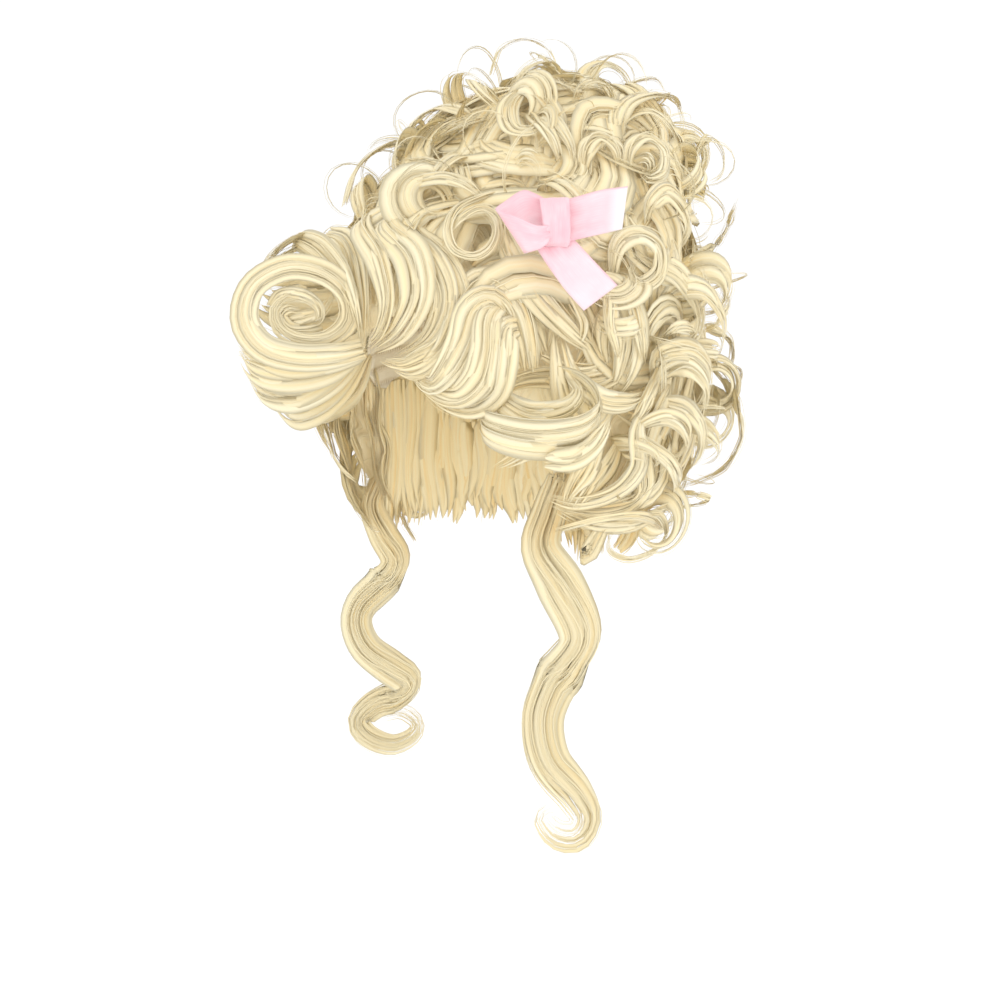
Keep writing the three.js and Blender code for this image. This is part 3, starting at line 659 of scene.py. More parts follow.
def hairMaterial():
    material, tree = newMaterial("hairLook")
    marks = {"Along": "span", "Across": "aside", "Strand": "tone", "Clump": "clumpTone"}
    marks = {label: attribute(tree, source) for label, source in marks.items()}
    group = addNode(tree, "ShaderNodeGroup", marks, node_tree=fibres)
    # Painted shade: locks deep in the mass are painted darker and browner than those on its outside, and the
    # outermost a little lighter, as shade and light fall on them.
    values = {"Value": attribute(tree, "standoff"), "From Max": hairTones["shadeDepth"],
              "To Min": -hairTones["shade"], "To Max": hairTones["shade"] * 0.3}
    depth = addNode(tree, "ShaderNodeMapRange", values).outputs[0]
    colour = toneRamp(tree, addMath(tree, "ADD", group.outputs["Tone"], depth), hairTones)
    facing = addNode(tree, "ShaderNodeAttribute", attribute_name="facing").outputs["Vector"]
    values = {"Facing": facing, "Softness": hairTones["softness"]}
    soft = addNode(tree, "ShaderNodeGroup", values, node_tree=soften)
    bump = {"Height": group.outputs["Height"], "Normal": soft.outputs["Normal"],
            "Strength": hairTones["bump"], "Distance": hairTones["bumpDepth"]}
    dress(tree, colour, bump, Roughness=hairTones["roughness"], Specular_IOR_Level=hairTones["gloss"],
          Sheen_Weight=hairTones["sheen"], Sheen_Roughness=0.5, Sheen_Tint=hairTones["light"])
    return material


hairLook = hairMaterial()

# The mass of hair under the locks.
massSettings = {
    "voxel": 0.006,
    "smoothing": 4,
    "capRoom": 0.0012,
    "outset": 0.0045,
    "light": (0.97, 0.86, 0.56, 1.0),
    "mid": (0.96, 0.80, 0.46, 1.0),
    "deep": (0.90, 0.66, 0.32, 1.0),
    "roughness": 0.7,
    "fibreSize": 0.0012,
    "fibreLength": 0.05,
    "bump": 0.8,
    "bumpDepth": 0.004,
}


def massMaterial():
    material, tree = newMaterial("massLook")
    place = addNode(tree, "ShaderNodeTexCoord").outputs["Object"]
    swirl = noiseOf(tree, place, 22.0, 2.0, "Color")
    bent = addVectorMath(tree, "MULTIPLY_ADD", (0, swirl), (1, (0.06, 0.06, 0.06)), (2, place))
    split = addNode(tree, "ShaderNodeSeparateXYZ", {0: bent}).outputs
    values = {"Along": split[2], "Across": addMath(tree, "ADD", split[0], split[1]),
              "Fibre Size": massSettings["fibreSize"], "Fibre Length": massSettings["fibreLength"]}
    group = addNode(tree, "ShaderNodeGroup", values, node_tree=fibres)
    bump = {"Height": group.outputs["Height"], "Strength": massSettings["bump"],
            "Distance": massSettings["bumpDepth"]}
    colour = toneRamp(tree, group.outputs["Tone"], massSettings)
    dress(tree, colour, bump, Roughness=massSettings["roughness"])
    return material


massLook = massMaterial()


# Moves what the remesh has pushed through the cap back outside it.
def keptOffCap(mesh):
    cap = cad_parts["wig_cap"].data
    middle = Vector((0, 0.005, -0.08))
    outer = [face for face in cap.polygons if face.normal.dot(face.center - middle) > 0]
    shell = BVHTree.FromPolygons([vertex.co for vertex in cap.vertices], [face.vertices[:] for face in outer])
    for vertex in mesh.vertices:
        place, normal, _, distance = shell.find_nearest(vertex.co, 0.02)
        inside = place is not None and (vertex.co - place).dot(normal) < massSettings["capRoom"]
        if inside and distance < 0.012:
            vertex.co = place + normal * massSettings["capRoom"]


# Whether a place on the base belongs to the front pieces and the open face, with some room round them.
def atFront(azimuth, height, room=0.0):
    turn = math.degrees((azimuth + math.pi) % (2 * math.pi) - math.pi)
    return height < 0.02 + room and -66 - 90 * room < turn < 64 + 60 * room and (turn > -58 or height > -0.75)


# Swells the outside of the mass under the curls, in soft lumps.
def swelled(mesh):
    for vertex in mesh.vertices:
        place = np.array(vertex.co)
        azimuth, height = skinPlace(place)
        fade = min(1.0, max(0.0, (height + 0.95) * 5))
        if abs(skinRise(place)) < 0.006 and fade > 0 and not atFront(azimuth, height, 0.3):
            lump = 0.8 + 0.35 * math.sin(7 * azimuth + 9 * height)
            lump += 0.25 * math.sin(13 * azimuth - 11 * height)
            vertex.co = place + skinOut(place) * massSettings["outset"] * lump * fade


def massedHair():
    piece = link("hair_mass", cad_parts["hair_base"].data.copy())
    finer = piece.modifiers.new("finer", "REMESH")
    finer.mode = "VOXEL"
    finer.voxel_size = massSettings["voxel"]
    soften = piece.modifiers.new("soften", "SMOOTH")
    soften.iterations = massSettings["smoothing"]
    grown = evaluatedMesh(piece)
    piece.modifiers.clear()
    piece.data = grown
    swelled(grown)
    keptOffCap(grown)
    grown.materials.clear()
    grown.materials.append(massLook)
    grown.shade_smooth()
    handOver(piece, ["hair_base"])
    tell("hair_mass", grown)


massedHair()

# The net cap, with its wefts of hair sewn on in rows.
capSettings = {
    "flat": (0.40, 0.34),
    "wefts": 0.011,
    "mesh": 0.0016,
    "stitches": 0.003,
    "cloth": (0.80, 0.70, 0.50, 1.0),
    "weft": (0.62, 0.49, 0.30, 1.0),
    "stitch": (0.92, 0.84, 0.64, 1.0),
}


def capMaterial():
    material, tree = newMaterial("capLook")
    place = addNode(tree, "ShaderNodeTexCoord").outputs["Object"]
    split = addNode(tree, "ShaderNodeSeparateXYZ", {0: place}).outputs
    turn = addMath(tree, "MULTIPLY", addMath(tree, "ARCTAN2", split[0], split[1]), 0.08)

    def lines(source, pitch):
        turned = addMath(tree, "MULTIPLY", source, 2 * math.pi / pitch)
        return addMath(tree, "MULTIPLY_ADD", addMath(tree, "SINE", turned), 0.5, 0.5)

    leaning = [lines(addMath(tree, way, split[2], turn), capSettings["mesh"]) for way in ("ADD", "SUBTRACT")]
    net = addMath(tree, "MAXIMUM", *leaning)
    waver = addMath(tree, "MULTIPLY", noiseOf(tree, place, 30.0, 2.0), 0.003)
    level = addMath(tree, "ADD", split[2], waver)
    row = addMath(tree, "POWER", lines(level, capSettings["wefts"]), 3.0)
    dots = addMath(tree, "POWER", lines(turn, capSettings["stitches"]), 2.0)
    stitches = addMath(tree, "MULTIPLY", addMath(tree, "POWER", row, 3.0), dots)
    cloth = mixed(tree, addMath(tree, "MULTIPLY", net, 0.5), capSettings["cloth"], capSettings["stitch"])
    sewn = mixed(tree, stitches, mixed(tree, row, cloth, capSettings["weft"]), capSettings["stitch"])
    raised = addMath(tree, "ADD", row, addMath(tree, "MULTIPLY", stitches, 0.5))
    height = addMath(tree, "ADD", addMath(tree, "MULTIPLY", net, 0.25), raised)
    dress(tree, sewn, {"Height": height, "Strength": 0.8, "Distance": 0.001}, Roughness=0.85)
    return material


def netCap():
    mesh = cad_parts["wig_cap"].data.copy()
    build = bmesh.new()
    build.from_mesh(mesh)
    bmesh.ops.remove_doubles(build, verts=build.verts, dist=1e-6)
    build.to_mesh(mesh)
    build.free()
    mesh.materials.clear()
    mesh.materials.append(capMaterial())
    mesh.shade_smooth()
    piece = link("cap_net", mesh)
    area = sum(face.area for face in mesh.polygons) / 2
    handOver(piece, ["wig_cap"])
    tell("cap_net", mesh, round(area * 1e6), "mm2 of cloth,")


netCap()

# The hair that falls inside below the cap's hem, against the wall of the hollow, in millimetres.
insideSettings = {
    "count": 36,
    "from": 84,
    "to": 276,
    "halfBreadth": 79.6,
    "halfLength": 99.3,
    "inset": 1.1,
    "foot": -211,
    "halfWidth": 11,
    "halfDepth": 0.5,
    "strands": 5,
    "steps": 9,
}


def insideLocks():
    breadth, length = insideSettings["halfBreadth"], insideSettings["halfLength"]
    cap = np.array([vertex.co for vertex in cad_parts["wig_cap"].data.vertices])
    capTurn = np.arctan2(cap[:, 0] / breadth, -cap[:, 1] / length)
    guides = []
    turns = np.linspace(insideSettings["from"], insideSettings["to"], insideSettings["count"])
    for i, degrees in enumerate(turns):
        turn = math.radians(degrees)
        apart = np.abs((capTurn - turn + math.pi) % (2 * math.pi) - math.pi)
        top = cap[apart < 0.12, 2].min() / mm - 1
        foot = insideSettings["foot"] - 7 * (i * 7 % 3)
        share = np.linspace(0, 1, insideSettings["steps"])
        swung = turn + 0.05 * np.sin(2 * math.pi * share + i * 2.4) * share
        inset = insideSettings["inset"] * (1 + 0.4 * (i % 2))
        sideways, forward = (breadth - inset) * np.sin(swung), -(length - inset) * np.cos(swung)
        points = np.stack([sideways, forward, top + (foot - top) * share], axis=1) * mm
        inward = np.stack([-np.sin(swung) * length, np.cos(swung) * breadth, 0 * swung], axis=1)
        guides.append(guideOf(points, unit(inward), insideSettings["halfWidth"] * mm,
                              insideSettings["halfDepth"] * mm, insideSettings["strands"]))
    growStrands("locks_inside", guides, Girth=0.0004, Bands=4, Band_Flatness=0.06, Band_Overlap=3.2,
                Band_Depth=0.15, Clumps=4, Clumping=0.2, Stray=0.0, Uneven_Ends=0.1, Wander=0.0015,
                Frizz=0.0003, Seed=5)


insideLocks()

dice = np.random.default_rng(11)


def between(low, high):
    return float(dice.uniform(low, high))


golden = math.pi * (3 - math.sqrt(5))


# Places spread evenly over the base from its top down, but for the front and what lies above it.
def spreadPlaces(count, top, span, turned=0.0, above=0.0, room=0.0):
    for i in range(count):
        height = top - span * (i + 0.5) / count
        azimuth = (i * golden + turned) % (2 * math.pi)
        if not atFront(azimuth, height + above, room):
            yield i, azimuth, height


# Broad flat locks that lie close to the base and cover it.
underSettings = {
    "count": 210,
    "strands": 3,
    "steps": 12,
    "girth": 0.0005,
    "length": (0.08, 0.13),
    "lift": (0.007, 0.016),
    "halfWidth": 0.014,
    "halfDepth": 0.003,
}


def underLocks():
    guides = []
    for _, azimuth, height in spreadPlaces(underSettings["count"], 0.97, 1.85, above=0.32):
        lock = {**underSettings, "length": between(*underSettings["length"]), "bend": between(-20, 20),
                "wave": between(-40, 40), "lift": between(*underSettings["lift"])}
        guides.append(surfaceGuide(azimuth, height, between(0.4, 2.7), lock))
    growStrands("locks_under", guides, Girth=underSettings["girth"], Bands=6, Band_Overlap=2.6, Clumps=4,
                Clumping=0.2, Wander=0.007, Seed=3)


underLocks()

# The curls that stand for the solids, row by row.
curlRows = {"crown": 1, "tower": 6, "upper": 8, "brow": 1, "middle": 8, "ear": 7, "neck": 7, "nape": 5}
curlSettings = {
    "strands": 11,
    "steps": 28,
    "girth": 0.00045,
    "turns": (0.6, 1.15),
    "closing": (-0.2, 0.45),
    "lead": (0.04, 0.07),
    "fullness": 0.6,
    "radius": (0.011, 0.019),
    "napeLead": 0.45,
}


def curlAt(centre, out, radius, kind, leadShare=1.0):
    turns, closing = between(*kind["turns"]), between(*kind["closing"])
    lead = between(*kind["lead"]) * leadShare
    turned = between(0, 2 * math.pi)
    level = unit(np.cross((0.0, 0.0, 1.0), out))
    lying = level * math.cos(turned) + np.cross(out, level) * math.sin(turned)
    axis = unit(lying + out * between(0.0, 1.1))
    curl = {"radius": radius, "turns": turns, "closing": closing, "spin": 1 if dice.random() < 0.5 else -1,
            "start": between(150, 210), "travel": radius * between(0.3, 0.9), "lead": lead,
            "steps": kind["steps"], "strands": kind["strands"], "halfWidth": radius * kind["fullness"],
            "halfDepth": radius * 0.22}
    return curlGuide(centre, out, axis, curl)


for row, count in curlRows.items():
    guides, nodes = [], []
    for i in range(count):
        name = f"curl_{row}_{i + 1}"
        low, high = (np.array(corner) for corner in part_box(name))
        centre = (low + high) / 2
        radius = float(np.clip(0.40 * np.max(high - low), *curlSettings["radius"]))
        leadShare = curlSettings["napeLead"] if row == "nape" else 1
        guides.append(curlAt(centre, skinOut(centre), radius, curlSettings, leadShare))
        nodes.append(name)
    growStrands(f"curls_{row}", guides, nodes, Girth=curlSettings["girth"], Clumps=5, Frizz=0.0015,
                Seed=100 + count)

# Curls whose places are drawn: azimuth in degrees, height, radius and lift in millimetres, how far
# the ring faces outwards, its spin, and the turn that it starts at.
drawnCurls = [
    (-46, 0.07, 16, 8, 0.3, 1, 200),
    (1, 0.16, 20, 10, 0.5, -1, 120),
    (-14, 0.70, 19, 8, 0.6, 1, 160),
    (17, 0.81, 23, 8, 0.4, -1, 200),
    (-44, 0.41, 18, 8, 0.4, -1, 200),
    (-40, 0.60, 17, 8, 0.5, 1, 180),
    (124, -0.52, 20, 16, 0.3, 1, 180),
    (128, -0.66, 19, 16, 0.3, -1, 180),
    (122, -0.22, 18, 14, 0.3, -1, 190),
    (126, 0.48, 16, 12, 0.3, -1, 180),
    (8, 0.97, 18, 10, 0.3, 1, 170),
    (140, 0.95, 17, 9, 0.3, -1, 180),
]
drawnSettings = {"strands": 17, "steps": 30, "girth": 0.00045, "turns": 1.15, "closing": 0.35, "lead": 0.04}


def drawnGuides():
    guides = []
    for azimuth, height, radius, lift, face, spin, start in drawnCurls:
        point, out, around, up = skinSeat(math.radians(azimuth), height)
        turned = math.radians(3 * start)
        axis = unit(around * math.cos(turned) + up * math.sin(turned)) * (1 - face) + out * face
        curl = {**drawnSettings, "radius": radius * mm, "spin": spin, "start": start,
                "travel": radius * 0.35 * mm, "halfWidth": radius * 0.65 * mm,
                "halfDepth": radius * 0.22 * mm}
        centre = point + out * (lift + radius * (1 - face) * 0.5) * mm
        guides.append(curlGuide(centre, out, axis, curl))
    return guides


growStrands("curls_drawn", drawnGuides(), Girth=drawnSettings["girth"], Clumps=5, Frizz=0.0015, Seed=31)

# Smaller curls and waved locks in between, spread evenly over the base.
fillSettings = {
    "curls": 34,
    "waves": 96,
    "girth": 0.00045,
    "strands": 9,
    "steps": 24,
    "radius": (0.010, 0.017),
    "lift": (0.006, 0.018),
    "turns": (0.7, 1.2),
    "closing": (-0.2, 0.5),
    "lead": (0.03, 0.055),
    "fullness": 0.55,
}


def fillers():
    rings, waves = [], []
    for _, azimuth, height in spreadPlaces(fillSettings["curls"], 0.96, 1.92, 1.1, room=0.03):
        point, out, _, _ = skinSeat(azimuth, height)
        radius = between(*fillSettings["radius"])
        rings.append(curlAt(point + out * between(*fillSettings["lift"]), out, radius, fillSettings))
    for i, azimuth, height in spreadPlaces(fillSettings["waves"], 0.9, 1.86, 2.9, room=0.03):
        lock = {"length": between(0.08, 0.13), "steps": 17, "strands": 8,
                "bend": between(14, 34) * (1 if i % 2 else -1), "wave": between(-45, 45),
                "hook": between(20, 90) * (1 if i % 3 else -1), "lift": between(*fillSettings["lift"]),
                "fling": between(0, 0.7), "halfWidth": between(0.009, 0.014), "halfDepth": 0.0035,
                "twist": between(-35, 35)}
        waves.append(surfaceGuide(azimuth, height, between(0, 2 * math.pi), lock))
    for name, guides, seed in (("curls_between", rings, 41), ("waves_between", waves, 42)):
        growStrands(name, guides, Girth=fillSettings["girth"], Clumps=4, Frizz=0.0015, Seed=seed)


fillers()


# A drawn lock: its half width in millimetres, how many strands and steps it has, and the points that
# it runs through. It lies flat to the base, towards the viewer, or around the middle of its roll. In a
# table of picked locks it may hang from a root, or have its places in the wig's frame already.
def lockOf(halfWidth, strands, steps, *rows, shape=None, toward=False, around=False, root=None, placed=False):
    return {"halfWidth": halfWidth, "strands": strands, "steps": steps, "rows": rows, "shape": shape,
            "toward": toward, "around": around, "root": root, "placed": placed}


# The photo's camera as it was fitted, in degrees, millimetres and thousandths of the picture's side.
picture = {
    "azimuth": 37.0,
    "tilt": 11.5,
    "away": 1600.0,
    "focal": 2276.0,
    "middle": 500,
    "aim": (0, 0, -150),
    "shift": (8, -38),
}
pictureWays = boardWays(picture["azimuth"], picture["tilt"])
eye = np.array(picture["aim"]) + np.array([*picture["shift"], picture["away"]]) @ pictureWays

# How a picked point is found on the base: where the search starts, how it steps and when it ends.
pickSettings = {
    "azimuths": range(-60, 130, 10),
    "heights": (-0.95, -0.7, -0.45, -0.2, 0.0, 0.3, 0.6, 0.85),
    "hidden": -0.15,
    "rounds": 60,
    "step": 0.001,
    "share": 0.7,
    "farthest": (0.15, 0.1),
    "near": 0.3,
    "missed": 3,
}


# Where places in millimetres show in the picture, across and down.
def shownAt(place):
    across, up, toward = ((place - eye) @ pictureWays.T).T
    return picture["middle"] + picture["focal"] * np.stack([-across, up], axis=-1) / toward[..., None]


# The way from the eye through a point of the picture, a millimetre deep.
def sightAt(across, down):
    level, rise = across - picture["middle"], picture["middle"] - down
    return np.array([level / picture["focal"], rise / picture["focal"], -1.0]) @ pictureWays


def overBase(azimuth, height, lift):
    point, out, _, _ = skinSeat(azimuth, height)
    return point / mm + out * lift


pickTurns, pickHeights = pickSettings["azimuths"], pickSettings["heights"]
pickStarts = [(math.radians(turn), height) for turn in pickTurns for height in pickHeights]
startSeats = [skinSeat(*start) for start in pickStarts]
startPoints, startOuts = (np.array([seat[i] for seat in startSeats]) for i in (0, 1))
startHidden = startOuts @ pictureWays[2] < pickSettings["hidden"]


# The place over the base, at a lift, that shows at a picked point. Past the base's outline it is the
# place along the sight that is as deep as the outline's nearest one.
def pickedOverBase(across, down, lift):
    picked = np.array([across, down])
    misses = np.linalg.norm(shownAt(startPoints / mm + startOuts * lift) - picked, axis=1)
    azimuth, height = pickStarts[np.argmin(np.where(startHidden, np.inf, misses))]
    step, farthest = pickSettings["step"], pickSettings["farthest"]
    for _ in range(pickSettings["rounds"]):
        shown = shownAt(overBase(azimuth, height, lift))
        if np.hypot(*(picked - shown)) < pickSettings["near"]:
            break
        aside = shownAt(overBase(azimuth + step, height, lift)) - shown
        above = shownAt(overBase(azimuth, min(height + step, 0.999), lift)) - shown
        slopes = np.stack([aside, above], axis=1) / step
        move = np.linalg.lstsq(slopes, picked - shown, rcond=None)[0]
        move = np.clip(move, np.negative(farthest), farthest) * pickSettings["share"]
        azimuth, height = azimuth + move[0], float(np.clip(height + move[1], -1, 0.99))
    place = overBase(azimuth, height, lift)
    if np.hypot(*(picked - shownAt(place))) > pickSettings["missed"]:
        place = eye + sightAt(across, down) * ((eye - place) @ pictureWays[2])
    return place


# The place that shows at a picked point, so many millimetres before an upright board through a root.
def pickedBeforeRoot(across, down, front, root):
    sight, facing = sightAt(across, down), boardWays(38, 0)[2]
    return eye + sight * ((front - (eye - np.array(root)) @ facing) / (sight @ facing))


# Points picked on the photo, across and down it, with their lift off the base or their way before a root:
# their places in the wig's own frame, to the whole millimetre.
def pickedRows(rows, root=None):
    if root is None:
        return np.round([pickedOverBase(*row) for row in rows])
    return np.round([pickedBeforeRoot(*row, root) for row in rows])


# The roll and waves over the wearer's right brow, drawn on a board that faces the viewer.
board = boardWays(38, 8)
rollCentre = (-71.8, -105.8, -25.8)
rollLocks = [
    lockOf(9, 60, 34, (37, -50, 37), (20, -54, 40), (-5, -55, 40), (-28, -48, 36), (-40, -30, 32),
        (-34, -8, 30), (-12, 4, 30), (12, 0, 30), (27, -14, 30), (28, -32, 32), (14, -44, 34),
        (-6, -44, 33), (-18, -36, 31), (-20, -24, 29), (-10, -16, 27), (2, -20, 24), (4, -28, 20),
        shape=(0.9, 0.3, 0.3), toward=True),
    lockOf(9, 36, 18, (38, -50, 35), (16, -57, 38), (-10, -60, 34), (-32, -56, 28), (-46, -52, 22),
        shape=(0.9, 0.2, 0.5), toward=True),
    lockOf(11, 20, 16, (38, -50, 32), (15, -62, 30), (-15, -66, 20), (-38, -62, 5), (-50, -48, -15),
        shape=(0.5, 0.25, 0.5)),
    lockOf(13, 20, 16, (38, -50, 30), (18, -68, 24), (-8, -80, 10), (-32, -78, -8), (-46, -64, -30),
        shape=(0.4, 0.3, 0.6)),
    lockOf(14, 20, 16, (40, -52, 28), (24, -72, 18), (4, -86, 2), (-16, -90, -18), (-32, -80, -40),
        shape=(0.3, 0.3, 0.6)),
    lockOf(13, 36, 16, (42, -54, 24), (32, -74, 10), (18, -84, -8), (2, -90, -28), (-12, -84, -50),
        shape=(0.3, 0.3, 0.6)),
    lockOf(10, 30, 18, (10, 24, -26), (-10, 18, -14), (-30, 4, -4), (-44, -16, -6), (-50, -36, -16),
        shape=(0.6, 0.3, 0.4)),
    lockOf(16, 30, 14, (34, -22, 16), (16, -26, 8), (-4, -26, 4), (-24, -22, 8), (-36, -14, 16),
        shape=(0.8, 0.6, 0.5), toward=True),
    lockOf(12, 30, 14, (24, 4, 10), (8, -4, 2), (-12, -8, 0), (-28, -10, 6), shape=(0.8, 0.6, 0.5),
        toward=True),
    lockOf(5, 24, 18, (-24, -22, 20), (-16, -14, 25), (-4, -14, 27), (6, -20, 26), (8, -28, 24),
        (2, -34, 20), toward=True),
    lockOf(5, 20, 18, (10, -36, 18), (0, -38, 23), (-12, -36, 24), (-18, -28, 24), (-12, -22, 24),
        (-2, -24, 20), toward=True),
    lockOf(5, 20, 14, (-22, -32, 16), (-10, -30, 21), (2, -28, 23), (12, -22, 22), (18, -12, 16),
        toward=True),
]
waveLocks = [
    lockOf(9, 30, 16, (4, 28, -22), (-12, 24, -12), (-26, 12, 4), (-32, -4, 14)),
    lockOf(9, 30, 18, (-10, 26, -22), (-2, 24, -2), (10, 16, 16), (24, -2, 28), (33, -26, 34),
        (37, -50, 36)),
    lockOf(10, 36, 18, (12, 30, -18), (24, 24, 2), (32, 6, 20), (37, -22, 32), (38, -50, 36)),
]
# More of the same waves and the forehead lock, in millimetres of the wig's own frame.
waveOnBase = [
    lockOf(10, 36, 18, (-50, -70, 14), (-34, -95, 6), (-4, -114, -10), (13, -126, -35), (6, -125, -55),
        (-12, -120, -69)),
    lockOf(10, 36, 18, (-26, -76, 14), (-14, -94, 8), (21, -111, -7), (34, -121, -31), (22, -124, -55),
        (-6, -119, -71)),
    lockOf(10, 36, 18, (-12, -80, 14), (0, -92, 8), (34, -105, -11), (50, -112, -34), (42, -118, -58),
        (14, -119, -73)),
    lockOf(8, 26, 18, (0, -82, 10), (8, -89, 6), (40, -96, -11), (56, -103, -34), (53, -109, -53),
        (36, -115, -67), (14, -116, -77)),
]
hairlineLocks = [
    lockOf(6, 24, 16, (52, -106, -40), (50, -112, -58), (38, -119, -70), (22, -121, -77), (4, -121, -75)),
    lockOf(6, 24, 16, (56, -104, -34), (53, -112, -58), (44, -118, -74), (30, -120, -82),
        (14, -120, -80)),
]
foreheadLocks = [
    lockOf(9, 36, 24, (89, -72, -80), (90, -76, -63), (85, -80, -41), (73, -85, -25), (61, -92, -23),
        (57, -104, -34), (56, -113, -52), (47, -117, -69), (26, -119, -77)),
    lockOf(12, 40, 22, (87, -74, -77), (82, -83, -50), (75, -96, -34), (69, -109, -40), (67, -116, -58),
        (60, -122, -76), (46, -122, -88), (28, -119, -82)),
    lockOf(11, 36, 20, (75, -81, -35), (79, -105, -44), (82, -112, -64), (78, -115, -82), (64, -117, -94),
        (45, -118, -92), (28, -118, -82)),
    lockOf(10, 30, 20, (84, -76, -50), (88, -98, -52), (91, -106, -71), (86, -106, -90), (70, -107, -101),
        (53, -112, -100), (34, -117, -90)),
]
templeCentre = (105, -78, -114)
templeLocks = [
    lockOf(16, 60, 34, (-42, 8, -16), (-38, -1, 4), (-20, -7, 20), (2, -9, 26), (22, -6, 20), (34, 4, 6),
        (30, 18, -6), (16, 28, -14), (-4, 30, -16), (-20, 26, -10), (-28, 16, 0), (-18, 8, 6),
        shape=(0.5, 0.2, 0.35), around=True),
    lockOf(8, 22, 14, (0, -22, 22), (16, -22, 22), (30, -14, 16), (39, -2, 8), (42, 6, 2),
        shape=(0.6, 0.1, 0.4)),
    lockOf(9, 26, 18, (-34, 22, -2), (-16, 10, 14), (-2, 8, 20), (14, 12, 16), (22, 22, 4), (14, 34, -10),
        shape=(0.5, 0.15, 0.4)),
]
sideLocks = [
    lockOf(9, 30, 18, (128, 6, -112), (133, -12, -125), (132, -8, -148), (121, -17, -165),
        (104, -36, -172), (90, -56, -166)),
    lockOf(8, 26, 18, (126, 14, -128), (128, 4, -148), (124, 10, -168), (114, 4, -180), (104, -20, -181),
        (92, -48, -174)),
    lockOf(7, 20, 16, (112, 60, -190), (109, 20, -196), (101, -20, -188), (90, -50, -174)),
    lockOf(15, 40, 18, (112, -26, -22), (120, -23, -28), (127, -18, -44), (129, -15, -62),
        (125, -16, -84), (116, -18, -102), shape=(0.4, 0.3, 0.6)),
    lockOf(9, 26, 16, (58, -62, 12), (77, -70, -10), (93, -68, -33), (107, -52, -56), (114, -30, -72)),
]
frontSettings = {"girth": 0.00042, "depth": 2.4, "strands": 0.46, "steps": 1.5}


def drawnLocks(locks, centre=None, shape=(0.6, 0.25, 0.5), picked=False):
    guides = []
    for lock in locks:
        steps = round(lock["steps"] * frontSettings["steps"])
        found = picked and not lock["placed"]
        rows = pickedRows(lock["rows"], lock["root"]) if found else np.array(lock["rows"])
        rows = rows * mm if centre is None else onBoard(rows, centre, board)
        outward = board[2] if lock["toward"] else None
        if lock["around"]:
            upright = unit(board[1] * 0.8 + board[2] * 0.6)
            points, middle = smoothPath(rows, steps), np.array(centre) * mm
            outward = unit(points - (middle + np.outer((points - middle) @ upright, upright)))
        thick = min(frontSettings["depth"], lock["halfWidth"] * 0.4)
        strands = round(lock["strands"] * frontSettings["strands"])
        guides.append(pathGuide(rows, lock["halfWidth"] * mm, thick * mm, steps, strands, outward,
                                lock["shape"] or shape))
    return guides


